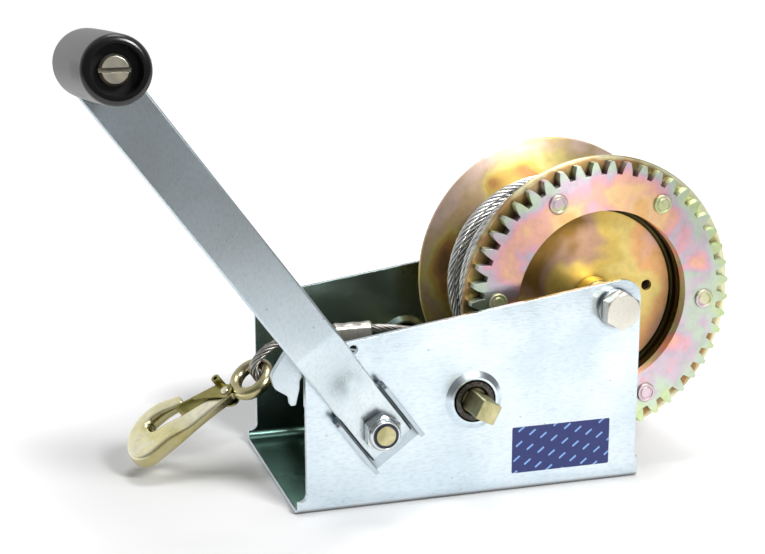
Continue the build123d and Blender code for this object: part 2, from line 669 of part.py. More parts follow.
def make_grip_screw():
    head = GRIP_END - GRIP_RECESS_DEPTH + RUNNING_GAP
    tail = -ARM_THICKNESS - GRIP_SEAT_GAP - GRIP_WASHER_THICKNESS - GRIP_NUT_HEIGHT
    top = head + GRIP_SCREW_HEAD_HEIGHT
    body = grip_turned([
        (0, tail), (GRIP_SCREW_RADIUS, tail),
        (GRIP_SCREW_RADIUS, head), (GRIP_SCREW_HEAD_RADIUS, head),
        (GRIP_SCREW_HEAD_RADIUS, top - 1), (GRIP_SCREW_HEAD_RADIUS - 1.2, top), (0, top),
    ])
    slot = Box(3 * GRIP_SCREW_HEAD_RADIUS, SCREW_SLOT_WIDTH, 2 * SCREW_SLOT_DEPTH)
    return body - grip_plane() * (Pos(0, 0, top) * slot)


def make_grip_nut():
    bore = GRIP_SCREW_RADIUS + FIT
    seat = -ARM_THICKNESS - GRIP_SEAT_GAP
    under = seat - GRIP_WASHER_THICKNESS
    washer = grip_turned([
        (bore, seat), (GRIP_WASHER_RADIUS, seat), (GRIP_WASHER_RADIUS, under), (bore, under),
    ])
    corner = GRIP_NUT_FLATS / 3 ** 0.5
    far = under - GRIP_NUT_HEIGHT + SIDE_PLAY
    hexagon = RegularPolygon(GRIP_NUT_FLATS / 2, 6, major_radius=False) - Circle(bore)
    nut = extrude(Pos(0, 0, far) * hexagon, amount=under - far)
    rounded = grip_turned([
        (0, far), (GRIP_NUT_FLATS / 2, far), (corner, far + 0.6), (corner, under - 0.6),
        (GRIP_NUT_FLATS / 2, under), (0, under),
    ])
    nut = grip_plane() * nut & rounded
    return Compound([*washer.solids(), *nut.solids()])


def make_grip():
    bore = GRIP_SCREW_RADIUS + FIT
    middle = GRIP_START + 0.45 * GRIP_LENGTH
    shoulder = GRIP_START + 0.08 * GRIP_LENGTH
    seat = GRIP_END - GRIP_RECESS_DEPTH
    side = Spline((GRIP_FOOT_RADIUS, shoulder), (GRIP_BELLY, middle), (GRIP_RADIUS, GRIP_END - GRIP_RIM))
    rim = RadiusArc(side @ 1, (GRIP_RADIUS - GRIP_RIM, GRIP_END), -GRIP_RIM)
    rest = Polyline(
        rim @ 1, (GRIP_RECESS_RADIUS, GRIP_END), (GRIP_RECESS_RADIUS - 0.4, seat), (bore, seat),
        (bore, GRIP_START), (GRIP_FOOT_RADIUS - 1, GRIP_START), (GRIP_FOOT_RADIUS, GRIP_START + 1), side @ 0,
    )
    section = Plane.XZ * make_face(Curve() + [side, rim, rest])
    return grip_plane() * revolve(section, Axis.Z)


def toe_sketch(side):
    """One pawl toe at its place between the teeth, then swung back to the middle position."""
    tip = PAWL_TOE_DEPTH
    top = PAWL_TOE_DEPTH + PAWL_TOE_LENGTH
    wedge = make_face(Polyline(
        (tip, -PAWL_TOE_TIP / 2), (top, -PAWL_TOE_ROOT / 2), (top + 4, -PAWL_TOE_ROOT / 2),
        (top + 4, PAWL_TOE_ROOT / 2), (top, PAWL_TOE_ROOT / 2), (tip, PAWL_TOE_TIP / 2), close=True,
    ))
    engaged = Pos(*DRIVE_AXIS) * Rot(0, 0, PAWL_BEARING + side * TOE_SPREAD) * wedge
    pivot = Pos(*PAWL_AXIS)
    return pivot * Rot(0, 0, -side * PAWL_TRAVEL) * pivot.inverse() * engaged


def make_pawl():
    y_from = FRONT_INSIDE + PAWL_SETBACK
    toes = [toe_sketch(1), toe_sketch(-1)]
    hub = Pos(*PAWL_AXIS) * Circle(PAWL_HUB_RADIUS)
    spread = make_hull([*hub.edges(), *toes[0].edges(), *toes[1].edges()])
    waist = PAWL_REACH - PAWL_HUB_RADIUS
    plate = spread - Pos(*DRIVE_AXIS) * Circle(min(waist, PINION_TIP + PAWL_PINION_ROOM))
    tab = make_face(FilletPolyline(
        (PAWL_X, PAWL_Z + PAWL_HUB_RADIUS), (PAWL_X - PAWL_SHOULDER_OUT, PAWL_Z + PAWL_SHOULDER_UP),
        (PAWL_X - PAWL_CHEEK_OUT, PAWL_Z - PAWL_CHEEK_DOWN), (PAWL_X - PAWL_JAW_OUT, PAWL_Z - PAWL_JAW_DOWN),
        (PAWL_X - PAWL_NECK_OUT, PAWL_Z - PAWL_NECK_DOWN), (PAWL_X - PAWL_BEAK_OUT, PAWL_Z - PAWL_BEAK_DOWN),
        (PAWL_X - PAWL_BEAK_IN, PAWL_Z - PAWL_BEAK_DOWN), (PAWL_X - PAWL_HEEL_IN, PAWL_Z - PAWL_HEEL_DOWN),
        (PAWL_X - PAWL_BACK_IN, PAWL_Z - PAWL_CHEEK_DOWN), (PAWL_X, PAWL_Z - PAWL_HUB_RADIUS),
        radius=[
            0, PAWL_SHOULDER_RADIUS, PAWL_CHEEK_RADIUS, PAWL_JAW_RADIUS, PAWL_NECK_RADIUS,
            PAWL_BEAK_RADIUS, PAWL_BEAK_RADIUS, PAWL_NECK_RADIUS, PAWL_NECK_RADIUS, 0,
        ],
        close=True,
    ))
    outline = plate + hub + tab + toes[0] + toes[1]
    body = slab(outline, y_from, y_from + PAWL_THICKNESS)
    return body - disc(PAWL_AXIS, PAWL_PIN_RADIUS + FIT, y_from - 1, y_from + PAWL_THICKNESS + 1)


def make_pawl_pin():
    head = FRONT_INSIDE + PAWL_SETBACK + PAWL_THICKNESS + RUNNING_GAP + PAWL_SPRING_LENGTH + RUNNING_GAP
    washer_face = FRONT_INSIDE + PAWL_SETBACK - RUNNING_GAP
    end = head + PAWL_PIN_HEAD_HEIGHT
    outside = FRONT - 0.6 * PAWL_PIN_HEAD_HEIGHT
    return turned(PAWL_AXIS, [
        (0, outside), (0.8 * PAWL_PIN_HEAD_RADIUS, outside), (PAWL_PIN_HEAD_RADIUS, FRONT),
        (PAWL_PIN_RADIUS, FRONT), (PAWL_PIN_RADIUS, FRONT_INSIDE), (PAWL_PIN_HEAD_RADIUS, FRONT_INSIDE),
        (PAWL_PIN_HEAD_RADIUS, washer_face), (PAWL_PIN_RADIUS, washer_face), (PAWL_PIN_RADIUS, head),
        (PAWL_PIN_HEAD_RADIUS, head), (0.8 * PAWL_PIN_HEAD_RADIUS, end), (0, end),
    ])


def make_pawl_spring():
    y_from = FRONT_INSIDE + PAWL_SETBACK + PAWL_THICKNESS + RUNNING_GAP
    y_to = y_from + PAWL_SPRING_LENGTH
    return disc(PAWL_AXIS, PAWL_SPRING_RADIUS, y_from, y_to, PAWL_SPRING_RADIUS - PAWL_SPRING_WIRE)


# The rope's route from the winding, through the sleeve, round the hook's eye and back
ROPE_ROUTE = [
    (49.7, 24.3, 42.5), (28.8, 24.3, 54.0), (8.0, 19.5, 65.6), (-15.0, 14.25, 73.9), (-36.0, 10.6, 77.0),
    (-56.0, 9.75, 77.4), (-69.5, 9.75, 76.9), (-83.0, 9.75, 75.0), (-94.6, 9.75, 70.2), (-103.6, 9.75, 60.0),
    (-95.6, 9.75, 49.9), (-83.6, 9.75, 54.6), (-71.5, 9.75, 63.4), (-56.0, 9.75, 72.0), (-37.5, 9.75, 72.1),
]
LOOP_CORNER = min(range(len(ROPE_ROUTE)), key=lambda index: ROPE_ROUTE[index][0])


def rope_runs(index):
    """The two runs that meet at a point of the rope's route."""
    into = Vector(*ROPE_ROUTE[index]) - Vector(*ROPE_ROUTE[index - 1])
    out = Vector(*ROPE_ROUTE[index + 1]) - Vector(*ROPE_ROUTE[index])
    return into, out


def rope_radius(index):
    into, out = rope_runs(index)
    half_turn = radians(into.get_angle(out)) / 2
    return 0.45 * min(into.length, out.length) / tan(half_turn)


def rope_tube(diameter):
    path = FilletPolyline(*ROPE_ROUTE, radius=[rope_radius(i) for i in range(1, len(ROPE_ROUTE) - 1)])
    start = Plane(origin=path @ 0, z_dir=path % 0)
    return sweep(start * Circle(diameter / 2), path=path)


def make_rope():
    tube = rope_tube(ROPE_DIAMETER)
    print("rope length", round(tube.volume / (pi * ROPE_DIAMETER ** 2 / 4), 1))
    print("rope radii", [round(rope_radius(i), 1) for i in range(1, len(ROPE_ROUTE) - 1)])
    return tube


def make_ferrule():
    upper_right, upper_left = ROPE_ROUTE[4], ROPE_ROUTE[5]
    lower_left = ROPE_ROUTE[13]
    middle_x = (upper_right[0] + upper_left[0]) / 2
    middle_z = (upper_left[2] + lower_left[2]) / 2
    pitch = upper_left[2] - lower_left[2]
    wall = ROPE_DIAMETER / 2 + FERRULE_WALL
    sketch = SlotCenterToCenter(pitch, 2 * wall, rotation=90)
    body = extrude(Plane.YZ * sketch, amount=FERRULE_LENGTH / 2, both=True)
    ends = body.edges().group_by(Axis.X)
    body = chamfer([*ends[0], *ends[-1]], FERRULE_WALL / 2)
    return Pos(middle_x, upper_left[1], middle_z) * body - rope_tube(ROPE_DIAMETER + 2 * FIT)


def make_rope_turn():
    """The rope's last turn on the drum, from where the free end leaves round to where it dives."""
    start = ROPE_ROUTE[0]
    leaves = degrees(atan2(start[2] - DRUM_Z + WINDING_SAG, start[0] - DRUM_X))
    leaves += degrees(FIT / WINDING_REACH)
    turn = revolve(rope_section(start[1]), Axis.Y, revolution_arc=-LAST_TURN_ARC)
    return Pos(DRUM_X, 0, DRUM_Z - WINDING_SAG) * Rot(0, -leaves, 0) * turn


def loop_centre():
    """The middle of the rope's bend round the bar of the hook's eye."""
    into, out = rope_runs(LOOP_CORNER)
    inward = (out.normalized() - into.normalized()).normalized()
    half_turn = radians(into.get_angle(out)) / 2
    return Vector(*ROPE_ROUTE[LOOP_CORNER]) + inward * (rope_radius(LOOP_CORNER) / cos(half_turn))


def hook_plane():
    """Local X down the shank from the eye, local Y across the hook, local Z through it."""
    slope = radians(HOOK_SLOPE)
    roll = radians(HOOK_ROLL)
    down = Vector(-cos(slope), 0, -sin(slope))
    through = Vector(cos(roll) * sin(slope), sin(roll), -cos(roll) * cos(slope))
    return Plane(origin=loop_centre() + down * HOOK_EYE_RADIUS, x_dir=down, z_dir=through)


def make_hook():
    throat = (HOOK_THROAT_FAR - HOOK_THROAT_NEAR) / 2 - 0.1
    outline = make_face(FilletPolyline(
        (HOOK_EYE_RADIUS, HOOK_BACK + 0.6), (HOOK_LENGTH, HOOK_BACK), (HOOK_LENGTH, HOOK_FRONT),
        (HOOK_TIP + 10, HOOK_FRONT), (HOOK_TIP, HOOK_TIP_FAR), (HOOK_TIP, HOOK_THROAT_FAR - 3.2),
        (HOOK_TIP + 12, HOOK_THROAT_FAR), (HOOK_SLOT_END, HOOK_THROAT_FAR),
        (HOOK_SLOT_END, HOOK_THROAT_NEAR), (HOOK_TIP, HOOK_THROAT_NEAR - 1.2),
        (LATCH_PIN_S, HOOK_NECK + 0.8), (HOOK_EYE_RADIUS, HOOK_NECK),
        radius=[0, HOOK_BOWL_NEAR, HOOK_BOWL_FAR, 9, 1.5, 1.5, 10, throat, throat, 20, 8, 0],
        close=True,
    ))
    body = extrude(outline, amount=HOOK_THICKNESS / 2, both=True)
    body = fillet(body.edges().filter_by(lambda e: abs(e.center().Z) > 0.49 * HOOK_THICKNESS), HOOK_EDGE)
    body += Torus(HOOK_EYE_RADIUS, HOOK_EYE_BAR)
    pin_hole = Pos(LATCH_PIN_S, LATCH_PIN_W, 0) * Cylinder(LATCH_PIN_RADIUS + FIT, 4 * HOOK_THICKNESS)
    return hook_plane() * (body - pin_hole)


def make_latch():
    leg_in = HOOK_THICKNESS / 2 + LATCH_GAP
    leg_out = leg_in + LATCH_SHEET
    heel = (LATCH_PIN_S, LATCH_PIN_W + LATCH_HEEL)
    tip = (LATCH_REACH, HOOK_THROAT_FAR - 3.2 - RUNNING_GAP)
    slope = degrees(atan2(tip[1] - heel[1], tip[0] - heel[0]))
    length = hypot(tip[0] - heel[0], tip[1] - heel[1])
    along = Pos(*heel) * Rot(0, 0, slope)
    web = along * Rectangle(length, LATCH_SHEET, align=(Align.MIN, Align.MAX))
    web = extrude(web, amount=leg_out, both=True)
    hub = Pos(LATCH_PIN_S, LATCH_PIN_W) * Circle(LATCH_HUB_RADIUS)
    rail = along * Rectangle(0.6 * length, LATCH_SHEET, align=(Align.MIN, Align.MAX))
    cheek = make_hull([*hub.edges(), *rail.edges()])
    cheek -= Pos(LATCH_PIN_S, LATCH_PIN_W) * Circle(LATCH_PIN_RADIUS + FIT)
    upper = extrude(Pos(0, 0, leg_in) * cheek, amount=LATCH_SHEET)
    lower = extrude(Pos(0, 0, -leg_out) * cheek, amount=LATCH_SHEET)
    roll = Circle(LATCH_CURL_RADIUS) - Circle(LATCH_CURL_RADIUS - LATCH_SHEET)
    place = Pos(heel[0], heel[1] + LATCH_CURL_RADIUS - LATCH_SHEET, -leg_out - LATCH_CURL_PROUD)
    curl = place * extrude(roll, amount=2 * leg_out + LATCH_CURL_PROUD)
    return hook_plane() * (web + upper + lower + curl)


def make_latch_pin():
    end = HOOK_THICKNESS / 2 + LATCH_GAP + LATCH_SHEET + RUNNING_GAP
    head = end + 0.7
    outline = make_face(Polyline(
        (0, -head), (LATCH_PIN_RADIUS, -head), (LATCH_PIN_RADIUS + 0.9, -end), (LATCH_PIN_RADIUS, -end),
        (LATCH_PIN_RADIUS, end), (LATCH_PIN_RADIUS + 0.9, end), (LATCH_PIN_RADIUS, head), (0, head),
        close=True,
    ))
    pin = revolve(Plane.XZ * outline, Axis.Z)
    return hook_plane() * (Pos(LATCH_PIN_S, LATCH_PIN_W, 0) * pin)


def make_parts():
    axle_seat = BACK + AXLE_WASHER_THICKNESS
    axle_nut = (AXLE_HEX_FLATS, AXLE_BOLT_RADIUS, axle_seat, axle_seat + AXLE_NUT_HEIGHT)
    crank_seat = FRONT - ARM_FRONT
    crank_nut = (CRANK_NUT_FLATS, CRANK_THREAD_RADIUS, crank_seat, crank_seat - CRANK_NUT_HEIGHT)
    pinion_front = FRONT_INSIDE + GEAR_SETBACK
    pinion_back = pinion_front + DRIVE_PINION_WIDTH
    rim_front, wall_front, web_front = flange_pieces(FLANGE_FRONT, 1)
    rim_rear, wall_rear, web_rear = flange_pieces(FLANGE_BACK, -1)
    close_turns, front_turns, rear_turn = winding_pieces()
    return {
        "frame": make_frame(),
        "drive_bush_front": make_bush(DRIVE_AXIS, FRONT),
        "drive_bush_rear": make_bush(DRIVE_AXIS, BACK_INSIDE),
        "lay_bush_front": make_bush(LAY_AXIS, FRONT),
        "lay_bush_rear": make_bush(LAY_AXIS, BACK_INSIDE),
        "axle_bolt": make_axle_bolt(),
        "axle_washers": make_axle_washers(),
        "axle_nut": lock_nut(DRUM_AXIS, *axle_nut),
        "axle_nut_insert": lock_insert(DRUM_AXIS, *axle_nut),
        "axle_sleeve": make_axle_sleeve(),
        "drum_spacer_front": make_drum_spacer(FRONT_INSIDE, HUB_FRONT - RUNNING_GAP),
        "drum_spacer_rear": make_drum_spacer(HUB_BACK + RUNNING_GAP, BACK_INSIDE),
        "drum_flange_front": rim_front,
        "drum_wall_front": wall_front,
        "drum_web_front": web_front,
        "drum_flange_rear": rim_rear,
        "drum_wall_rear": wall_rear,
        "drum_web_rear": web_rear,
        "drum_barrel": make_barrel(),
        "drum_hub": make_hub(),
        "ring_gear": make_ring_gear(),
        "gear_rivets": make_gear_rivets(),
        "rope_winding": close_turns,
        "rope_edge_front": front_turns,
        "rope_edge_rear": rear_turn,
        "rope_turn": make_rope_turn(),
        "layshaft": make_layshaft(),
        "lay_gear": make_gear(LAY_AXIS, LAY_GEAR_TEETH, LAY_GEAR_ANGLE, LAY_GEAR_FRONT, LAY_GEAR_BACK),
        "lay_pinion": make_gear(LAY_AXIS, PINION_TEETH, LAY_PINION_ANGLE, LAY_GEAR_BACK, LAY_PINION_BACK),
        "layshaft_clip": make_clip(LAY_AXIS),
        "drive_shaft": make_drive_shaft(),
        "drive_pinion": make_gear(DRIVE_AXIS, PINION_TEETH, DRIVE_PINION_ANGLE, pinion_front, pinion_back),
        "drive_shaft_clip": make_clip(DRIVE_AXIS),
        "crank_channel": make_crank_channel(),
        "crank_arm": make_crank_arm(),
        "crank_nut": lock_nut(DRIVE_AXIS, *crank_nut),
        "crank_nut_insert": lock_insert(DRIVE_AXIS, *crank_nut),
        "grip_screw": make_grip_screw(),
        "grip_nut": make_grip_nut(),
        "grip": make_grip(),
        "pawl": make_pawl(),
        "pawl_pin": make_pawl_pin(),
        "pawl_spring": make_pawl_spring(),
        "rope": make_rope(),
        "rope_ferrule": make_ferrule(),
        "hook": make_hook(),
        "hook_latch": make_latch(),
        "latch_pin": make_latch_pin(),
    }


os.makedirs("parts", exist_ok=True)
for name, shape in make_parts().items():
    export_step(shape, f"parts/{name}.step")
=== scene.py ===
import bpy
import bmesh
import json
from math import atan2, cos, exp, pi, radians, sin
from mathutils import Euler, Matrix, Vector

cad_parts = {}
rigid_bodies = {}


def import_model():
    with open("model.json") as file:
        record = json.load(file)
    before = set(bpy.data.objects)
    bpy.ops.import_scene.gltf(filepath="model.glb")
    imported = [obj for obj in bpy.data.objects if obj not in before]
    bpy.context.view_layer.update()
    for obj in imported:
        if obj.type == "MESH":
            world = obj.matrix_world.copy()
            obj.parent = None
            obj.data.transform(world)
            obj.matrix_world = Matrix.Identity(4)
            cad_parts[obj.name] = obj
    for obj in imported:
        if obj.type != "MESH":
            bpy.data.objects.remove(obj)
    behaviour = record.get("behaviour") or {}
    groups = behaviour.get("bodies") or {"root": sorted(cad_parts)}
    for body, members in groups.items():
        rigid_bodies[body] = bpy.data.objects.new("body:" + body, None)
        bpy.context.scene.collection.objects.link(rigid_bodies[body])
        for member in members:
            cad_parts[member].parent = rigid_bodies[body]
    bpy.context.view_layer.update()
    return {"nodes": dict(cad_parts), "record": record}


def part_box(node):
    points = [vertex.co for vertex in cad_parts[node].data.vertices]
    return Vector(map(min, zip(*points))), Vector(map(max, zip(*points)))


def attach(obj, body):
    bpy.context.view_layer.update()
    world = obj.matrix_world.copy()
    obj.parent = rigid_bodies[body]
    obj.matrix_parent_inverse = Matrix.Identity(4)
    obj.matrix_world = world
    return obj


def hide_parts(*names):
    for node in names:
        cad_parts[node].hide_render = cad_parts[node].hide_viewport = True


for leftover in list(bpy.data.objects):
    bpy.data.objects.remove(leftover)
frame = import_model()
scene = bpy.context.scene


# Camera: stands to the left in front of the winch, a little above it, with a short
# telephoto lens, as the photograph was taken.
camera = bpy.data.objects.new("camera", bpy.data.cameras.new("camera"))
scene.collection.objects.link(camera)
camera.data.lens = 69.49
camera.data.sensor_width = 36.0
camera.location = (-0.25938, -0.74301, 0.29164)
camera.rotation_euler = Euler((radians(76.70), 0, radians(-17.05)))
scene.camera = camera
scene.view_settings.view_transform = "Standard"


# Studio: white paper on the floor, a white room and two soft boxes. The room is darker on the
# camera's side than behind the winch, so that bare metal has something to show. The paper keeps
# the shadow near the winch and goes to white further out.
def linear(code):
    """A linear colour from an sRGB hex code."""
    shares = [int(code[i:i + 2], 16) / 255 for i in (1, 3, 5)]
    return [s / 12.92 if s <= 0.04045 else ((s + 0.055) / 1.055) ** 2.4 for s in shares] + [1.0]


def add(tree, kind, inputs=(), stops=(), **settings):
    """Adds a shader node. Inputs holds sockets with a value or another node's output, stops a
    colour ramp's positions with their hex codes, settings the node's own properties."""
    new = tree.nodes.new("ShaderNode" + kind)
    for name, value in settings.items():
        setattr(new, name, value)
    for socket, value in dict(inputs).items():
        if isinstance(value, bpy.types.NodeSocket):
            tree.links.new(value, new.inputs[socket])
        else:
            new.inputs[socket].default_value = value
    if stops:
        while len(new.color_ramp.elements) < len(stops):
            new.color_ramp.elements.new(0.5)
        for element, (position, code) in zip(new.color_ramp.elements, stops):
            element.position = position
            element.color = linear(code)
    return new


def new_material(name):
    """A material with an empty node tree and its output node."""
    material = bpy.data.materials.new(name)
    material.use_nodes = True
    material.node_tree.nodes.clear()
    return material, material.node_tree, add(material.node_tree, "OutputMaterial")


# How bright the room is in front of the winch, behind it and overhead, and where each begins, as
# a share of the way that a ray goes on Y or Z. Matt surfaces get only a share of this light.
ROOM_FRONT, ROOM_BACK, ROOM_TOP = 0.26, 1.0, 0.70
FRONT_TO, BACK_FROM, TOP_FROM, TOP_FULL = -0.25, 0.35, 0.58, 0.88
ROOM_ON_MATT = 0.34

world = bpy.data.worlds.new("white room")
scene.world = world
world.use_nodes = True
room = world.node_tree
room.nodes.clear()
toward = add(room, "SeparateXYZ", {"Vector": add(room, "TexCoord").outputs["Generated"]})
around = add(room, "MapRange", {
    "Value": toward.outputs["Y"], "From Min": FRONT_TO, "From Max": BACK_FROM,
    "To Min": ROOM_FRONT, "To Max": ROOM_BACK,
})
level = add(room, "MapRange", {
    "Value": toward.outputs["Z"], "From Min": TOP_FROM, "From Max": TOP_FULL,
    "To Min": around.outputs["Result"], "To Max": ROOM_TOP,
})
path = add(room, "LightPath")
dim = add(room, "MapRange", {
    "Value": path.outputs["Is Diffuse Ray"], "To Min": 1.0, "To Max": ROOM_ON_MATT,
})
strength = add(room, "Math", {
    0: level.outputs["Result"], 1: dim.outputs["Result"],
}, operation="MULTIPLY")
unseen = add(room, "Background", {"Strength": strength.outputs[0]})
white = add(room, "Background", {"Color": (1, 1, 1, 1), "Strength": 1.0})
direct = add(room, "Math", {
    0: path.outputs["Is Camera Ray"], 1: path.outputs["Is Transmission Ray"],
}, operation="MAXIMUM")
mixed = add(room, "MixShader", {0: direct.outputs[0], 1: unseen.outputs[0], 2: white.outputs[0]})
add(room, "OutputWorld", {"Surface": mixed.outputs[0]})

# Matt white paper: even and without shine. How far from the middle it turns from shade to white
# for the camera, and from dim to bright in the metal, and how much it glows there.
PAPER_WHITE = "#efefef"
PAPER_LEFT, PAPER_RIGHT, PAPER_NEAR, PAPER_FAR = -1.3, 1.6, -0.53, 2.6
PAPER_MIDDLE = (-0.04, 0.0, 0.0)
SHADE_TO, WHITE_FROM, SHADE_GLOW, WHITE_GLOW = 0.13, 0.32, 0.06, 0.9
DIM_TO, BRIGHT_FROM, DIM_GLOW, BRIGHT_GLOW = 0.10, 0.40, 0.30, 0.58
paper, tree, out = new_material("matt white paper")
path = add(tree, "LightPath")
spot = add(tree, "NewGeometry").outputs["Position"]
away = add(tree, "VectorMath", {0: spot, 1: PAPER_MIDDLE}, operation="DISTANCE")
fade = add(tree, "MapRange", {
    "Value": away.outputs["Value"], "From Min": SHADE_TO, "From Max": WHITE_FROM,
    "To Min": SHADE_GLOW, "To Max": WHITE_GLOW,
}, interpolation_type="SMOOTHSTEP")
shown = add(tree, "Math", {
    0: path.outputs["Is Camera Ray"], 1: fade.outputs["Result"],
}, operation="MULTIPLY")
near = add(tree, "MapRange", {
    "Value": away.outputs["Value"], "From Min": DIM_TO, "From Max": BRIGHT_FROM,
    "To Min": DIM_GLOW, "To Max": BRIGHT_GLOW,
})
mirrored = add(tree, "Math", {
    0: path.outputs["Is Glossy Ray"], 1: near.outputs["Result"],
}, operation="MULTIPLY")
glow = add(tree, "Math", {0: shown.outputs[0], 1: mirrored.outputs[0]}, operation="ADD")
lit = add(tree, "BsdfDiffuse", {"Color": linear(PAPER_WHITE)})
shine = add(tree, "Emission", {"Strength": glow.outputs[0]})
both = add(tree, "AddShader", {0: lit.outputs[0], 1: shine.outputs[0]})
tree.links.new(both.outputs[0], out.inputs["Surface"])
floor_mesh = bpy.data.meshes.new("floor")
floor_mesh.from_pydata([
    (PAPER_LEFT, PAPER_NEAR, 0), (PAPER_RIGHT, PAPER_NEAR, 0),
    (PAPER_RIGHT, PAPER_FAR, 0), (PAPER_LEFT, PAPER_FAR, 0),
], [], [(0, 1, 2, 3)])
floor = bpy.data.objects.new("floor", floor_mesh)
scene.collection.objects.link(floor)
floor_mesh.materials.append(paper)


def soft_box(name, place, target, size, power):
    """A square area lamp that points at a target."""
    lamp = bpy.data.lights.new(name, "AREA")
    lamp.size = size
    lamp.energy = power
    box = bpy.data.objects.new(name, lamp)
    scene.collection.objects.link(box)
    box.location = place
    box.rotation_euler = (Vector(target) - Vector(place)).to_track_quat("-Z", "Y").to_euler()


soft_box("key_box", place=(0.32, -0.98, 0.86), target=(0.02, 0, 0.08), size=0.34, power=15.5)
soft_box("fill_box", place=(-0.05, 0.0, 1.20), target=(0.0, 0, 0.1), size=0.4, power=4.5)


# Frame: 3 mm steel sheet, cut, pierced and bent to a channel, with collars drawn out for the
# bushes, then zinc plated. Inside the channel it is painted dark and greenish as shade, darkest low down.
node = frame["nodes"]
MM = 0.001
SHEET, INNER_FACE, CLOSE_BY = 3.0 * MM, 57.25 * MM, 0.05 * MM
# The inner faces are painted dark and greenish as shade: its colours low and high, and the heights between
# which it lightens.
INSIDE_SHADE, INSIDE_LOW, INSIDE_HIGH = ("#3e544d", "#8fa69f"), 4 * MM, 45 * MM
# How far apart the clouds and pits are, how far the painted shade in corners reaches, how round edges look.
CLOUD, PIT_SPACING, CORNER_SHADE, SOFT_EDGE = 45 * MM, 9 * MM, 4 * MM, 0.5 * MM
# Real rolling marks are finer. These are as coarse as they need to be to show.
ROLLING_MARK = 1.1 * MM
# The places of a Mix node's two colours and of its result.
MIX_A, MIX_B, MIX_OUT = 6, 7, 2


def set_finish(material, *names):
    """Gives CAD nodes one material."""
    for name in names:
        node[name].data.materials.clear()
        node[name].data.materials.append(material)


def zinc_plate(name, light, cloudy, roughness, grain_along, inside=()):
    """Bright zinc on steel: a cold bluish white, cloudy on a scale of centimetres, with fine rolling
    marks, small pits and painted shade in its corners. Grain_along is how much longer the marks are
    on X, Y and Z, inside the colours low and high of the painted shade on the channel's inner faces."""
    material, tree, out = new_material(name)
    place = add(tree, "TexCoord").outputs["Object"]
    clouds = add(tree, "TexNoise", {
        "Vector": place, "Scale": 1 / CLOUD, "Detail": 3.0, "Roughness": 0.55,
    })
    tint = add(tree, "ValToRGB", {"Fac": clouds.outputs["Fac"]}, ((0.25, cloudy), (0.75, light)))
    tint.color_ramp.interpolation = "EASE"
    pits = add(tree, "TexVoronoi", {"Vector": place, "Scale": 1 / PIT_SPACING, "Randomness": 1.0})
    pit_edge = add(tree, "MapRange", {
        "Value": pits.outputs["Distance"], "From Min": 0.03, "From Max": 0.07,
        "To Min": 0.62, "To Max": 1.0,
    })
    # Painted shade: darker in corners and where parts come close.
    hollow = add(tree, "AmbientOcclusion", {"Distance": CORNER_SHADE}, samples=6)
    hollow_shade = add(tree, "MapRange", {
        "Value": hollow.outputs["AO"], "From Min": 0.35, "From Max": 0.85, "To Min": 0.25, "To Max": 1.0,
    })
    squeeze = add(tree, "Mapping", {"Vector": place, "Scale": [1 / s for s in grain_along]})
    grain = add(tree, "TexNoise", {
        "Vector": squeeze.outputs[0], "Scale": 1 / ROLLING_MARK, "Detail": 3.0,
    })
    spangle = add(tree, "MapRange", {
        "Value": grain.outputs["Fac"], "From Min": 0.3, "From Max": 0.55, "To Min": 0.89, "To Max": 1.0,
    })
    spotted = add(tree, "Math", {
        0: pit_edge.outputs["Result"], 1: spangle.outputs["Result"],
    }, operation="MULTIPLY")
    worn_and_shaded = add(tree, "Math", {0: spotted.outputs[0], 1: hollow_shade.outputs["Result"]}, operation="MULTIPLY")
    colour = add(tree, "Mix", {
        "Factor": 1.0, MIX_A: tint.outputs["Color"], MIX_B: worn_and_shaded.outputs[0],
    }, data_type="RGBA", blend_type="MULTIPLY")
    # Painted shade on the channel's inner faces: darkest low down, lighter higher up.
    if inside:
        axes = add(tree, "SeparateXYZ", {"Vector": place})
        across = add(tree, "Math", {0: axes.outputs["Y"]}, operation="ABSOLUTE")
        between = add(tree, "Math", {
            0: across.outputs[0], 1: INNER_FACE + CLOSE_BY,
        }, operation="LESS_THAN")
        above = add(tree, "Math", {0: axes.outputs["Z"], 1: SHEET - CLOSE_BY}, operation="GREATER_THAN")
        inner = add(tree, "Math", {0: between.outputs[0], 1: above.outputs[0]}, operation="MULTIPLY")
        height = add(tree, "MapRange", {
            "Value": axes.outputs["Z"], "From Min": INSIDE_LOW, "From Max": INSIDE_HIGH,
        })
        film = add(tree, "Mix", {
            "Factor": height.outputs["Result"], MIX_A: linear(inside[0]), MIX_B: linear(inside[1]),
        }, data_type="RGBA")
        colour = add(tree, "Mix", {
            "Factor": inner.outputs[0], MIX_A: colour.outputs[MIX_OUT], MIX_B: film.outputs[MIX_OUT],
        }, data_type="RGBA")
    dull = add(tree, "MapRange", {
        "Value": clouds.outputs["Fac"], "From Min": 0.2, "From Max": 0.8,
        "To Min": roughness + 0.06, "To Max": roughness - 0.06,
    })
    soft_edge = add(tree, "Bevel", {"Radius": SOFT_EDGE}, samples=4)
    bump = add(tree, "Bump", {
        "Strength": 0.22, "Distance": 0.1 * MM, "Height": grain.outputs["Fac"],
        "Normal": soft_edge.outputs[0],
    })
    metal = add(tree, "BsdfPrincipled", {
        "Base Color": colour.outputs[MIX_OUT], "Metallic": 1.0, "Roughness": dull.outputs["Result"],
        "Normal": bump.outputs[0],
    })
    tree.links.new(metal.outputs[0], out.inputs["Surface"])
    return material


channel_zinc = zinc_plate(
    "bright zinc plated channel", light="#d3dde3", cloudy="#c0ced7", roughness=0.26,
    grain_along=(3, 1, 1), inside=INSIDE_SHADE,
)
set_finish(channel_zinc, "frame")


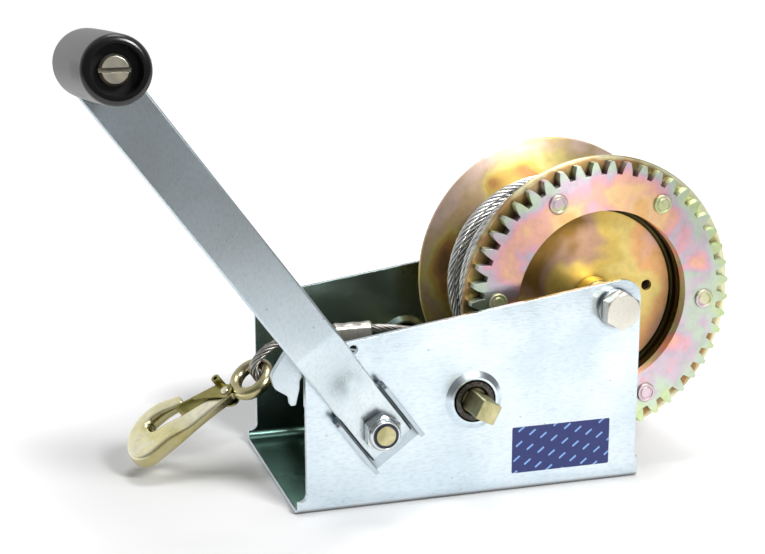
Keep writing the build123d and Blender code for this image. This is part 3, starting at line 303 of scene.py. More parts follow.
# Sticker: a blank label of navy vinyl film, printed with short pale dashes, cut with rounded
# corners and stuck to the front plate at the lower right.
STICKER_LEFT, STICKER_RIGHT, STICKER_LOW, STICKER_TOP = 21.3 * MM, 77.0 * MM, 11.3 * MM, 36.6 * MM
STICKER_FILM, STICKER_CORNER = 0.15 * MM, 0.8 * MM
COLLAR_HEIGHT = 2.0 * MM
NAVY, PALE_INK = "#1d2964", "#7fa6dc"
DASH_SLANT, DASH_ROW, DASH_STEP = radians(38), 5.6 * MM, 9.5 * MM
# The shift from row to row and the dash's length are shares of a step, its width one of a row.
DASH_SHIFT, DASH_LONG, DASH_WIDE = 0.37, 0.46, 0.17


def new_piece(name, work, material):
    """A new object from a mesh in the making."""
    mesh = bpy.data.meshes.new(name)
    work.to_mesh(mesh)
    mesh.materials.append(material)
    piece = bpy.data.objects.new(name, mesh)
    scene.collection.objects.link(piece)
    return piece


def printed_vinyl():
    """Printed vinyl film: flat, even colour with crisp edges under a satin skin."""
    material, tree, out = new_material("printed navy vinyl")
    place = add(tree, "TexCoord").outputs["Object"]
    slant = add(tree, "Mapping", {"Vector": place, "Rotation": (0, DASH_SLANT, 0)})
    axes = add(tree, "SeparateXYZ", {"Vector": slant.outputs[0]})
    row = add(tree, "Math", {0: axes.outputs["Z"], 1: DASH_ROW}, operation="DIVIDE")
    row_number = add(tree, "Math", {0: row.outputs[0]}, operation="FLOOR")
    shift = add(tree, "Math", {0: row_number.outputs[0], 1: DASH_SHIFT}, operation="MULTIPLY")
    column = add(tree, "Math", {
        0: axes.outputs["X"], 1: 1 / DASH_STEP, 2: shift.outputs[0],
    }, operation="MULTIPLY_ADD")
    along_dash = add(tree, "Math", {0: column.outputs[0]}, operation="FRACT")
    across_dash = add(tree, "Math", {0: row.outputs[0]}, operation="FRACT")
    long_way = add(tree, "Math", {0: along_dash.outputs[0], 1: DASH_LONG}, operation="LESS_THAN")
    wide_way = add(tree, "Math", {0: across_dash.outputs[0], 1: DASH_WIDE}, operation="LESS_THAN")
    dash = add(tree, "Math", {0: long_way.outputs[0], 1: wide_way.outputs[0]}, operation="MULTIPLY")
    ink = add(tree, "Mix", {
        "Factor": dash.outputs[0], MIX_A: linear(NAVY), MIX_B: linear(PALE_INK),
    }, data_type="RGBA")
    film = add(tree, "BsdfPrincipled", {"Base Color": ink.outputs[MIX_OUT], "Roughness": 0.38})
    tree.links.new(film.outputs[0], out.inputs["Surface"])
    return material


plate_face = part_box("frame")[0].y + COLLAR_HEIGHT
outline = []
for corner_x, corner_z, first in (
    (STICKER_RIGHT, STICKER_TOP, 0), (STICKER_LEFT, STICKER_TOP, 90),
    (STICKER_LEFT, STICKER_LOW, 180), (STICKER_RIGHT, STICKER_LOW, 270),
):
    in_x = STICKER_CORNER if corner_x == STICKER_LEFT else -STICKER_CORNER
    in_z = STICKER_CORNER if corner_z == STICKER_LOW else -STICKER_CORNER
    for angle in range(first, first + 91, 15):
        outline.append((
            corner_x + in_x + STICKER_CORNER * cos(radians(angle)),
            corner_z + in_z + STICKER_CORNER * sin(radians(angle)),
        ))
work = bmesh.new()
front = work.faces.new([work.verts.new((x, plate_face - STICKER_FILM, z)) for x, z in outline])
skirt = bmesh.ops.extrude_face_region(work, geom=[front])
for vert in [v for v in skirt["geom"] if isinstance(v, bmesh.types.BMVert)]:
    vert.co.y = plate_face
bmesh.ops.recalc_face_normals(work, faces=work.faces)
sticker = new_piece("sticker", work, printed_vinyl())
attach(sticker, "frame")


# Shaft bushes: sintered iron, filled with oil and pressed into the frame's collars. The one in
# full view, on the countershaft, is black with oil at its bore and where it meets the collar.
LAY_X, LAY_Z = -0.668 * MM, 54.142 * MM
BUSH_RADIUS = 11.25 * MM
# Real pores are finer. These are as coarse as they need to be to show.
PORE = 0.7 * MM
IRON = ((0.4, "#3e3b38"), (0.65, "#605c57"))
# Radii are shares of the bush's diameter.
OIL_RINGS = (
    (0.335, "#101010"), (0.365, "#ffffff"), (0.452, "#ffffff"), (0.47, "#191919"),
    (0.52, "#191919"), (0.53, "#ffffff"),
)


def sintered_iron():
    """Oil-filled sintered iron: a dull dark grey speckle of pores, black where the oil creeps out."""
    material, tree, out = new_material("oil-filled sintered iron")
    place = add(tree, "TexCoord").outputs["Object"]
    pores = add(tree, "TexNoise", {"Vector": place, "Scale": 1 / PORE, "Detail": 4.0})
    tint = add(tree, "ValToRGB", {"Fac": pores.outputs["Fac"]}, IRON)
    reach = add(tree, "VectorMath", {0: place, 1: (LAY_X, 0, LAY_Z)}, operation="SUBTRACT")
    flat = add(tree, "VectorMath", {0: reach.outputs[0], 1: (1, 0, 1)}, operation="MULTIPLY")
    radius = add(tree, "VectorMath", {0: flat.outputs[0]}, operation="LENGTH")
    share = add(tree, "Math", {0: radius.outputs["Value"], 1: 2 * BUSH_RADIUS}, operation="DIVIDE")
    oil = add(tree, "ValToRGB", {"Fac": share.outputs[0]}, OIL_RINGS)
    colour = add(tree, "Mix", {
        "Factor": 1.0, MIX_A: tint.outputs["Color"], MIX_B: oil.outputs["Color"],
    }, data_type="RGBA", blend_type="MULTIPLY")
    bump = add(tree, "Bump", {"Strength": 0.12, "Distance": 0.1 * MM, "Height": pores.outputs["Fac"]})
    metal = add(tree, "BsdfPrincipled", {
        "Base Color": colour.outputs[MIX_OUT], "Metallic": 1.0, "Roughness": 0.42,
        "Normal": bump.outputs[0],
    })
    tree.links.new(metal.outputs[0], out.inputs["Surface"])
    return material


set_finish(sintered_iron(), "drive_bush_front", "drive_bush_rear", "lay_bush_front", "lay_bush_rear")


# Drum axle: a bolt with a rolled thread, washers, spacers, a sleeve and a lock nut with a nylon
# ring. The steel is zinc plated: greyer than the sheet, and duller on the bolt's head.
DRUM_X, DRUM_Z = 78.2 * MM, 97.5 * MM
THREAD_PITCH, THREAD_REACH, THREAD_RIDGE, THREAD_STEPS = 1.75 * MM, 5.75 * MM, 0.5 * MM, 60
# Tubes are unwrapped to this many units round them and to one for each length along them. This
# puts a rope's wires about 1 mm apart, which is as coarse as they need to be to show.
UNWRAP_ROUND, UNWRAP_LENGTH = 2, 1.6 * MM
MOTTLE, NYLON = 1.5 * MM, ((0.0, "#141a2b"), (1.0, "#2a3550"))
fastener_zinc = zinc_plate(
    "bright zinc plated fastener", light="#cdd2d4", cloudy="#b3b9bc", roughness=0.25,
    grain_along=(1, 1, 1),
)
bolt_zinc = zinc_plate(
    "dull zinc plated bolt", light="#dedbd0", cloudy="#c6c2b6", roughness=0.36, grain_along=(1, 1, 1),
)
set_finish(fastener_zinc, "axle_washers", "axle_nut", "axle_sleeve", "drum_spacer_front", "drum_spacer_rear")
set_finish(bolt_zinc, "axle_bolt")


def sweep(work, points, radius, sides=8):
    """Adds a closed tube along a row of points to a mesh, unwrapped round it and along it."""
    lay = work.loops.layers.uv.get("lay") or work.loops.layers.uv.new("lay")
    side = (points[1] - points[0]).orthogonal().normalized()
    corners = [2 * pi * corner / sides for corner in range(sides)]
    gone = 0.0
    rings = []
    for index, spot in enumerate(points):
        behind = points[max(index - 1, 0)]
        tangent = (points[min(index + 1, len(points) - 1)] - behind).normalized()
        side = (side - tangent * side.dot(tangent)).normalized()
        up = tangent.cross(side)
        gone += (spot - behind).length
        ring = [work.verts.new(spot + (side * cos(a) + up * sin(a)) * radius) for a in corners]
        rings.append((ring, gone))
    for (ring, start), (after, end) in zip(rings, rings[1:]):
        for corner in range(sides):
            following = (corner + 1) % sides
            face = work.faces.new((ring[corner], ring[following], after[following], after[corner]))
            face.smooth = True
            unwrapped = ((corner, start), (corner + 1, start), (corner + 1, end), (corner, end))
            for loop, (u, v) in zip(face.loops, unwrapped):
                loop[lay].uv = (UNWRAP_ROUND * u / sides, v / UNWRAP_LENGTH)
    work.faces.new(reversed(rings[0][0]))
    work.faces.new(rings[-1][0])


tail_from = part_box("axle_nut")[1].y + THREAD_RIDGE
tail_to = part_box("axle_bolt")[1].y - THREAD_RIDGE
thread_points = []
for step in range(THREAD_STEPS + 1):
    y = tail_from - THREAD_PITCH + (tail_to - tail_from + THREAD_PITCH) * step / THREAD_STEPS
    angle = 2 * pi * (y - tail_from) / THREAD_PITCH
    thread_points.append(Vector((
        DRUM_X + THREAD_REACH * cos(angle), y, DRUM_Z + THREAD_REACH * sin(angle),
    )))
work = bmesh.new()
sweep(work, thread_points, THREAD_RIDGE)
thread = new_piece("axle_thread", work, fastener_zinc)
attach(thread, "frame")


def navy_nylon():
    """Moulded nylon: dark, a little mottled, with a waxy sheen."""
    material, tree, out = new_material("navy nylon lock ring")
    place = add(tree, "TexCoord").outputs["Object"]
    mottle = add(tree, "TexNoise", {"Vector": place, "Scale": 1 / MOTTLE, "Detail": 2.0})
    tint = add(tree, "ValToRGB", {"Fac": mottle.outputs["Fac"]}, NYLON)
    plastic = add(tree, "BsdfPrincipled", {"Base Color": tint.outputs["Color"], "Roughness": 0.45})
    tree.links.new(plastic.outputs[0], out.inputs["Surface"])
    return material


set_finish(navy_nylon(), "axle_nut_insert", "crank_nut_insert")


# Drum and gears: the flanges are drawn from sheet, the gears stamped and the shafts turned, all
# of steel with yellow chromate over zinc. The film is thick and pale on the gear and gold in the
# dish. The drawn wall is painted near black as shade, and the flange behind the gear darker as
# shade from the teeth.
# The rim's extra film, the stains' size, and how far the painted shade in hollows reaches.
RIM_GROWTH, STAIN, DISH_SHADE = 0.24, 6 * MM, 5 * MM
# Real grit is finer. This is as coarse as it needs to be to show.
GRIT = 0.7 * MM


def yellow_chromate(name, film, patch, roughness, turned=0.0, rim=(), lean=(), edge=0.35 * MM):
    """Yellow chromate on metal: a clear film whose colour drifts with its thickness over patches of
    some centimetres, stained, and painted darker as shade in its hollows. Film is the colours it
    runs through, patch the size of a patch, turned how strong the turning marks are, rim the two
    radii between which it grows thicker on a wheel, lean how it grows per metre on X, Y and Z, edge
    how round edges look."""
    material, tree, out = new_material(name)
    place = add(tree, "TexCoord").outputs["Object"]
    drift = add(tree, "TexNoise", {
        "Vector": place, "Scale": 1 / patch, "Detail": 2.0, "Roughness": 0.5, "Distortion": 0.6,
    })
    thickness = drift.outputs["Fac"]
    from_axis = add(tree, "VectorMath", {0: place, 1: (DRUM_X, 0, DRUM_Z)}, operation="SUBTRACT")
    if lean:
        slope = add(tree, "VectorMath", {0: from_axis.outputs[0], 1: lean}, operation="DOT_PRODUCT")
        leaning = add(tree, "Math", {0: thickness, 1: slope.outputs["Value"]}, operation="ADD")
        thickness = leaning.outputs[0]
    if rim:
        flat = add(tree, "VectorMath", {0: from_axis.outputs[0], 1: (1, 0, 1)}, operation="MULTIPLY")
        radius = add(tree, "VectorMath", {0: flat.outputs[0]}, operation="LENGTH")
        growth = add(tree, "MapRange", {
            "Value": radius.outputs["Value"], "From Min": rim[0], "From Max": rim[1],
            "To Max": RIM_GROWTH,
        })
        grown = add(tree, "Math", {0: thickness, 1: growth.outputs["Result"]}, operation="ADD")
        thickness = grown.outputs[0]
    tint = add(tree, "ValToRGB", {"Fac": thickness}, film)
    tint.color_ramp.interpolation = "EASE"
    stains = add(tree, "TexNoise", {
        "Vector": place, "Scale": 1 / STAIN, "Detail": 5.0, "Roughness": 0.65,
    })
    stain = add(tree, "MapRange", {
        "Value": stains.outputs["Fac"], "From Min": 0.3, "From Max": 0.55, "To Min": 0.86, "To Max": 1.0,
    })
    # Painted shade: darker in hollows and where parts come close.
    hollow = add(tree, "AmbientOcclusion", {"Distance": DISH_SHADE}, samples=6)
    hollow_shade = add(tree, "MapRange", {
        "Value": hollow.outputs["AO"], "From Min": 0.35, "From Max": 0.80, "To Min": 0.30, "To Max": 1.0,
    })
    worn_and_shaded = add(tree, "Math", {
        0: stain.outputs["Result"], 1: hollow_shade.outputs["Result"],
    }, operation="MULTIPLY")
    colour = add(tree, "Mix", {
        "Factor": 1.0, MIX_A: tint.outputs["Color"], MIX_B: worn_and_shaded.outputs[0],
    }, data_type="RGBA", blend_type="MULTIPLY")
    grit = add(tree, "TexNoise", {"Vector": place, "Scale": 1 / GRIT, "Detail": 2.0})
    soft_edge = add(tree, "Bevel", {"Radius": edge}, samples=4)
    bump = add(tree, "Bump", {
        "Strength": 0.05, "Distance": 0.1 * MM, "Height": grit.outputs["Fac"],
        "Normal": soft_edge.outputs[0],
    })
    round_marks = add(tree, "Tangent", direction_type="RADIAL", axis="Y")
    metal = add(tree, "BsdfPrincipled", {
        "Base Color": colour.outputs[MIX_OUT], "Metallic": 1.0, "Roughness": roughness,
        "Anisotropic": turned, "Anisotropic Rotation": 0.25, "Normal": bump.outputs[0],
        "Tangent": round_marks.outputs[0],
    })
    tree.links.new(metal.outputs[0], out.inputs["Surface"])
    return material


FLANGE_FILM = (
    (0.26, "#9c7a52"), (0.36, "#bf8f5c"), (0.45, "#d9b866"), (0.55, "#e6d68e"), (0.64, "#e2c8a0"),
    (0.75, "#f0d6c6"), (0.90, "#ece2cc"),
)
# The film grows thicker to the right and up, so the flange is brown on the left and pale at the upper right:
# partly the chromate's colour, partly painted shade and painted highlight.
rear_flange = yellow_chromate(
    "yellow chromate flange", FLANGE_FILM, patch=42 * MM, roughness=0.50, turned=0.80,
    rim=(64 * MM, 73 * MM), lean=(1.0, 0, 0.4),
)
set_finish(rear_flange, "drum_flange_rear")
# The flange behind the gear has a darker film, painted shade from the gear's teeth, paler at its rim.
BACKING_SHADE_FILM = (
    (0.24, "#6f7350"), (0.42, "#a48a54"), (0.56, "#b98f62"), (0.68, "#d2c496"), (0.84, "#efeccb"),
)
shaded_gear_backing = yellow_chromate(
    "yellow chromate flange behind the gear", BACKING_SHADE_FILM, patch=25 * MM, roughness=0.46, turned=0.7,
    rim=(74 * MM, 76.5 * MM), lean=(2.6, 0, 0.7),
)
set_finish(shaded_gear_backing, "drum_flange_front")
DISH_FILM = (
    (0.22, "#9a763c"), (0.31, "#c09a80"), (0.40, "#e8ca70"), (0.49, "#f4dc8a"), (0.59, "#f8c084"),
    (0.74, "#f0c0ae"),
)
dish = yellow_chromate(
    "yellow chromate dish", DISH_FILM, patch=40 * MM, roughness=0.46, turned=0.6, lean=(5.0, 0, -2.6),
)
set_finish(dish, "drum_web_front", "drum_web_rear", "drum_barrel", "drum_hub")
# The drawn wall down in the dish is painted near black as shade.
WALL_SHADE_FILM = ((0.30, "#2b2718"), (0.5, "#40391f"), (0.7, "#554c2c"))
shaded_drawn_wall = yellow_chromate("yellow chromate drawn wall", WALL_SHADE_FILM, patch=40 * MM, roughness=0.34)
set_finish(shaded_drawn_wall, "drum_wall_front", "drum_wall_rear")
GEAR_FILM = (
    (0.24, "#f3c283"), (0.34, "#f6cd9a"), (0.42, "#f0b9a6"), (0.50, "#e6b3bd"), (0.57, "#cebfca"),
    (0.66, "#c4d0c0"), (0.84, "#c6d6a2"),
)
gear_stamping = yellow_chromate(
    "yellow chromate stamping", GEAR_FILM, patch=24 * MM, roughness=0.42, turned=0.6,
    rim=(60 * MM, 72 * MM), lean=(0.9, 0, -1.2),
)
set_finish(gear_stamping, "ring_gear", "lay_gear", "lay_pinion", "drive_pinion")
SHAFT_FILM = ((0.32, "#a39e74"), (0.5, "#bab388"), (0.68, "#ccc49a"))
olive_shaft = yellow_chromate(
    "yellow chromate shaft", SHAFT_FILM, patch=9 * MM, roughness=0.40, edge=0.8 * MM,
)
set_finish(olive_shaft, "layshaft", "drive_shaft")


# Rivets: six steel rivets through the gear and the flange, chromate plated with them. Their flat
# heads are peened over and so have a shallow ring pressed into them.
RIVET_COUNT, RIVET_CIRCLE, RIVET_TURN = 6, 60.4 * MM, radians(-3)
HEAD_RADIUS, HEAD_HEIGHT, HEAD_EDGE, CAD_HEAD_HEIGHT = 5.2 * MM, 1.3 * MM, 0.5 * MM, 2.0 * MM
SHANK_RADIUS, RING_DEPTH = 3.6 * MM, 0.35 * MM
RING_INNER, RING_INNER_LOW, RING_OUTER_LOW, RING_OUTER = 2.9 * MM, 3.2 * MM, 3.7 * MM, 4.0 * MM
RIVET_FILM = ((0.34, "#c8cf9c"), (0.48, "#d8d2b6"), (0.62, "#d9c4cc"))


def skin(work, rings, smooth=False):
    """Joins rings of vertices, all of one length, to a closed shell."""
    for ring, after in zip(rings, rings[1:]):
        for index in range(len(ring)):
            following = (index + 1) % len(ring)
            face = work.faces.new((ring[index], ring[following], after[following], after[index]))
            face.smooth = smooth
    work.faces.new(reversed(rings[0]))
    work.faces.new(rings[-1])
    bmesh.ops.recalc_face_normals(work, faces=work.faces)


rivet_low, rivet_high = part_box("gear_rivets")
gear_face = rivet_low.y + CAD_HEAD_HEIGHT
head_face = gear_face - HEAD_HEIGHT
profile = (
    (RING_INNER, head_face), (RING_INNER_LOW, head_face + RING_DEPTH),
    (RING_OUTER_LOW, head_face + RING_DEPTH), (RING_OUTER, head_face),
    (HEAD_RADIUS - HEAD_EDGE, head_face), (HEAD_RADIUS, head_face + HEAD_EDGE),
    (HEAD_RADIUS, gear_face), (SHANK_RADIUS, gear_face), (SHANK_RADIUS, rivet_high.y),
)
ways = [(cos(radians(a)), sin(radians(a))) for a in range(0, 360, 9)]
work = bmesh.new()
for rivet in range(RIVET_COUNT):
    turn = RIVET_TURN + 2 * pi * rivet / RIVET_COUNT
    middle = Vector((DRUM_X + RIVET_CIRCLE * cos(turn), 0, DRUM_Z + RIVET_CIRCLE * sin(turn)))
    rings = []
    for reach, y in profile:
        rings.append([work.verts.new(middle + Vector((reach * c, y, reach * s))) for c, s in ways])
    skin(work, rings)
rivet_film = yellow_chromate("yellow chromate rivet", RIVET_FILM, patch=14 * MM, roughness=0.42)
rivets = new_piece("peened_rivets", work, rivet_film)
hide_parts("gear_rivets")
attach(rivets, "drum")


# Circlips: rings of spring steel, stamped, hardened and sprung into grooves in the two shafts.
# Their dark phosphate skin holds oil.
SKIN_MOTTLE, PHOSPHATE = 1.2 * MM, ((0.0, "#2c2e30"), (1.0, "#585b5e"))


def phosphate_steel():
    """Phosphated spring steel: nearly black and mottled, with an oily gleam."""
    material, tree, out = new_material("phosphated spring steel")
    place = add(tree, "TexCoord").outputs["Object"]
    mottle = add(tree, "TexNoise", {"Vector": place, "Scale": 1 / SKIN_MOTTLE, "Detail": 3.0})
    tint = add(tree, "ValToRGB", {"Fac": mottle.outputs["Fac"]}, PHOSPHATE)
    metal = add(tree, "BsdfPrincipled", {
        "Base Color": tint.outputs["Color"], "Metallic": 1.0, "Roughness": 0.38,
    })
    tree.links.new(metal.outputs[0], out.inputs["Surface"])
    return material


phosphate = phosphate_steel()
set_finish(phosphate, "layshaft_clip", "drive_shaft_clip")


# Pawl: a stamped plate with two toes on a rivet, bright zinc plated. A small coil of dark
# spring wire on the rivet holds it to either side.
COIL_TURNS, COIL_WIRE, COIL_STEPS = 2.6, 0.55 * MM, 36
pawl_zinc = zinc_plate(
    "bright zinc plated stamping", light="#ccd6da", cloudy="#bcc8cf", roughness=0.30,
    grain_along=(1, 1, 1),
)
set_finish(pawl_zinc, "pawl", "pawl_pin")
coil_low, coil_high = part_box("pawl_spring")
coil_middle = (coil_low + coil_high) / 2
coil_reach = (coil_high.x - coil_low.x) / 2 - COIL_WIRE
coil_rise = coil_high.y - coil_low.y - 2 * COIL_WIRE
coil_points = []
for step in range(int(COIL_TURNS * COIL_STEPS) + 1):
    angle = 2 * pi * step / COIL_STEPS
    coil_points.append(Vector((
        coil_middle.x + coil_reach * cos(angle),
        coil_low.y + COIL_WIRE + coil_rise * step / (COIL_TURNS * COIL_STEPS),
        coil_middle.z + coil_reach * sin(angle),
    )))
work = bmesh.new()
sweep(work, coil_points, COIL_WIRE)
coil = new_piece("pawl_coil", work, phosphate)
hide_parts("pawl_spring")
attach(coil, "frame")


# Crank: a flat bar, bent outwards in a soft double bend so that the grip clears the frame. It
# sits in a short channel on the shaft's square end, held by a lock nut. All is bright zinc plated,
# apart from the grip's screw, whose yellow chromate is worn.
DRIVE_X, DRIVE_Z = -54.129 * MM, 46.534 * MM
ARM_LEAN = radians(126.4)
ARM_WIDTH, ARM_THICK, ARM_ROUND = 25.4 * MM, 5.0 * MM, 1.1 * MM
ARM_HEEL, ARM_REACH = 10.8 * MM, 233.4 * MM
BEND_FROM, BEND_TO, BEND_STEPS, STRAIGHT_STEPS = 20 * MM, 64 * MM, 32, 6
NUDGE = 0.1 * MM
SCREW_FILM = ((0.32, "#a8a498"), (0.5, "#bdb8a8"), (0.68, "#cdc5ae"))
# The channel gets a darker zinc than the bar's, as painted shade on its lips.
shaded_strip_zinc = zinc_plate(
    "bright zinc plated strip", light="#b4c0c7", cloudy="#a2b0b8", roughness=0.28, grain_along=(1, 1, 2),
)
set_finish(shaded_strip_zinc, "crank_channel")
set_finish(fastener_zinc, "crank_nut", "grip_nut")
screw_film = yellow_chromate("worn yellow chromate screw", SCREW_FILM, patch=8 * MM, roughness=0.36)
set_finish(screw_film, "grip_screw")
arm_low, arm_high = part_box("crank_arm")
seat_y, grip_y = arm_high.y - ARM_THICK / 2, arm_low.y + ARM_THICK / 2
along = Vector((cos(ARM_LEAN), 0, sin(ARM_LEAN)))
sideways = Vector((-sin(ARM_LEAN), 0, cos(ARM_LEAN)))


def part_way(value, start, end):
    """How far a value is from start to end, from 0 to 1."""
    return min(max((value - start) / (end - start), 0), 1)


def ease(share):
    """Makes a share of a way start and stop gently."""
    return share * share * (3 - 2 * share)


def arm_middle(reach):
    """The middle of the bar at a distance from the drive shaft."""
    y = seat_y + (grip_y - seat_y) * ease(part_way(reach, BEND_FROM, BEND_TO))
    return Vector((DRIVE_X, y, DRIVE_Z)) + along * reach


half = ARM_WIDTH / 2
stations = [(-ARM_HEEL, half), (0, half)]
for step in range(BEND_STEPS + 1):
    stations.append((BEND_FROM + (BEND_TO - BEND_FROM) * step / BEND_STEPS, half))
for step in range(1, STRAIGHT_STEPS + 1):
    stations.append((BEND_TO + (ARM_REACH - BEND_TO) * step / STRAIGHT_STEPS, half))
for degree in range(6, 85, 6):
    stations.append((ARM_REACH + half * sin(radians(degree)), half * cos(radians(degree))))
work = bmesh.new()
rings = []
for reach, half_width in stations:
    ahead = (arm_middle(reach + NUDGE) - arm_middle(reach - NUDGE)).normalized()
    outward = ahead.cross(sideways)
    ring = []
    for corner_side, corner_out, first in ((1, 1, 0), (-1, 1, 90), (-1, -1, 180), (1, -1, 270)):
        for degree in range(first, first + 91, 15):
            side = corner_side * (half_width - ARM_ROUND) + ARM_ROUND * cos(radians(degree))
            rise = corner_out * (ARM_THICK / 2 - ARM_ROUND) + ARM_ROUND * sin(radians(degree))
            ring.append(work.verts.new(arm_middle(reach) + sideways * side + outward * rise))
    rings.append(ring)
skin(work, rings, smooth=True)
bar_zinc = zinc_plate(
    "bright zinc plated bar", light="#ccd6da", cloudy="#bcc8cf", roughness=0.30, grain_along=(1, 1, 2),
)
bar = new_piece("crank_bar", work, bar_zinc)
bar.modifiers.new("flat faces", "WEIGHTED_NORMAL")
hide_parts("crank_arm")
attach(bar, "crank")


# Grip: a hollow roll of black plastic, injection moulded, that turns freely on its screw. It is
# satin on its sides and glossier on the end that faces out.
GLOSS_FROM, GLOSS_TO, GLOSS, SATIN = 0.5 * MM, 2.5 * MM, 0.16, 0.33
MOULD_GRAIN, WEAR = 0.6 * MM, 18 * MM
BLACK = ((0.0, "#030303"), (1.0, "#0b0b0c"))
grip_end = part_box("grip")[0].y


def black_plastic():
    """Moulded polypropylene: deep black, with a fine grain from the mould and faint wear."""
    material, tree, out = new_material("moulded black polypropylene")
    place = add(tree, "TexCoord").outputs["Object"]
    grain = add(tree, "TexNoise", {"Vector": place, "Scale": 1 / MOULD_GRAIN, "Detail": 2.0})
    wear = add(tree, "TexNoise", {"Vector": place, "Scale": 1 / WEAR, "Detail": 3.0})
    tint = add(tree, "ValToRGB", {"Fac": wear.outputs["Fac"]}, BLACK)
    bump = add(tree, "Bump", {"Strength": 0.15, "Distance": 0.1 * MM, "Height": grain.outputs["Fac"]})
    axes = add(tree, "SeparateXYZ", {"Vector": place})
    polish = add(tree, "MapRange", {
        "Value": axes.outputs["Y"], "From Min": grip_end + GLOSS_FROM, "From Max": grip_end + GLOSS_TO,
        "To Min": GLOSS, "To Max": SATIN,
    })
    plastic = add(tree, "BsdfPrincipled", {
        "Base Color": tint.outputs["Color"], "Roughness": polish.outputs["Result"],
        "Normal": bump.outputs[0],
    })
    tree.links.new(plastic.outputs[0], out.inputs["Surface"])
    return material


set_finish(black_plastic(), "grip")


# Wound rope: 5 mm galvanised wire rope, six strands of fine wire laid round a core. The last
# layer on the drum lies loose, with another layer in sight under it.
ROPE_RADIUS, ROPE_LAY, STRANDS = 2.5 * MM, 27 * MM, 6
STRAND_RADIUS = ROPE_RADIUS / 3
# How big the patches of dirt are, and how far the painted shade between strands reaches.
ROPE_DIRT, GROOVE_SHADE = 5 * MM, 2 * MM
TURN_REACH, SAG, STEPS = 58.8 * MM, 3.6 * MM, 132
# The close turns step across to the next in the last tenth of each turn.
CLOSE_TURNS, CLOSE_FROM, CLOSE_TO, CROSS_FROM = 10, -33.45 * MM, 12.0 * MM, 0.9
REAR_TURN, REAR_REACH = 30.75 * MM, 55.5 * MM
UNDER_TURNS, UNDER_FROM, UNDER_TO, UNDER_REACH = 8, -19.0 * MM, 21.4 * MM, 50.0 * MM


def galvanised_wire(name, dirty, clean):
    """Drawn galvanised wire: bright grey and finely ribbed along its lay, with painted shade between the
    strands.
    """
    material, tree, out = new_material(name)
    lay = add(tree, "UVMap", uv_map="lay").outputs["UV"]
    wires = add(tree, "TexWave", {
        "Vector": lay, "Scale": 1.0, "Distortion": 0.0,
    }, wave_type="BANDS", bands_direction="DIAGONAL")
    place = add(tree, "TexCoord").outputs["Object"]
    dirt = add(tree, "TexNoise", {"Vector": place, "Scale": 1 / ROPE_DIRT, "Detail": 4.0})
    tint = add(tree, "ValToRGB", {"Fac": dirt.outputs["Fac"]}, ((0.35, dirty), (0.6, clean)))
    # Painted shade between the strands and where the turns lie close.
    hollow = add(tree, "AmbientOcclusion", {"Distance": GROOVE_SHADE}, samples=6)
    hollow_shade = add(tree, "MapRange", {
        "Value": hollow.outputs["AO"], "From Min": 0.25, "From Max": 0.75, "To Min": 0.12, "To Max": 1.0,
    })
    colour = add(tree, "Mix", {
        "Factor": 1.0, MIX_A: tint.outputs["Color"], MIX_B: hollow_shade.outputs["Result"],
    }, data_type="RGBA", blend_type="MULTIPLY")
    bump = add(tree, "Bump", {"Strength": 0.12, "Distance": 0.1 * MM, "Height": wires.outputs["Fac"]})
    metal = add(tree, "BsdfPrincipled", {
        "Base Color": colour.outputs[MIX_OUT], "Metallic": 1.0, "Roughness": 0.40,
        "Normal": bump.outputs[0],
    })
    tree.links.new(metal.outputs[0], out.inputs["Surface"])
    return material


def lay_strands(name, points, wire):
    """A rope along a row of points: strands wound round it, each a closed tube."""
    spots = [Vector(p) for p in points]
    side = (spots[1] - spots[0]).orthogonal().normalized()
    gone = 0.0
    rows = [[] for _ in range(STRANDS)]
    for index, spot in enumerate(spots):
        behind = spots[max(index - 1, 0)]
        tangent = (spots[min(index + 1, len(spots) - 1)] - behind).normalized()
        side = (side - tangent * side.dot(tangent)).normalized()
        up = tangent.cross(side)
        gone += (spot - behind).length
        for strand, row in enumerate(rows):
            turn = 2 * pi * (gone / ROPE_LAY + strand / STRANDS)
            row.append(spot + (side * cos(turn) + up * sin(turn)) * (ROPE_RADIUS - STRAND_RADIUS))
    work = bmesh.new()
    for row in rows:
        sweep(work, row, STRAND_RADIUS)
    return new_piece(name, work, wire)


def turn_point(share, y, reach=TURN_REACH, sag=SAG):
    """A point on the winding, share of a turn on from the lower right."""
    angle = 2 * pi * share - pi / 4
    return (DRUM_X + reach * cos(angle), y, DRUM_Z - sag + reach * sin(angle))


wound_wire = galvanised_wire("galvanised stranded wire", dirty="#d0d2d1", clean="#f4f5f5")
close_points = []
for step in range(CLOSE_TURNS * STEPS + 1):
    turn, share = divmod(step / STEPS, 1)
    across = part_way(share, CROSS_FROM, 1) if turn < CLOSE_TURNS - 1 else 0
    y = CLOSE_FROM + (turn + across) * (CLOSE_TO - CLOSE_FROM) / (CLOSE_TURNS - 1)
    close_points.append(turn_point(share, min(y, CLOSE_TO)))
drum_rope = lay_strands("drum_rope", close_points, wound_wire)
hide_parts("rope_winding", "rope_edge_front")
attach(drum_rope, "drum")
rear_points = [turn_point(step / STEPS, REAR_TURN, REAR_REACH) for step in range(STEPS)]
rear_rope = lay_strands("rear_rope", rear_points, wound_wire)
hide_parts("rope_edge_rear")
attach(rear_rope, "drum")
under_points = []
for step in range(UNDER_TURNS * STEPS + 1):
    y = UNDER_FROM + (UNDER_TO - UNDER_FROM) * step / (UNDER_TURNS * STEPS)
    under_points.append(turn_point(step / STEPS, y, UNDER_REACH, 0))
under_rope = lay_strands("under_rope", under_points, wound_wire)
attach(under_rope, "drum")


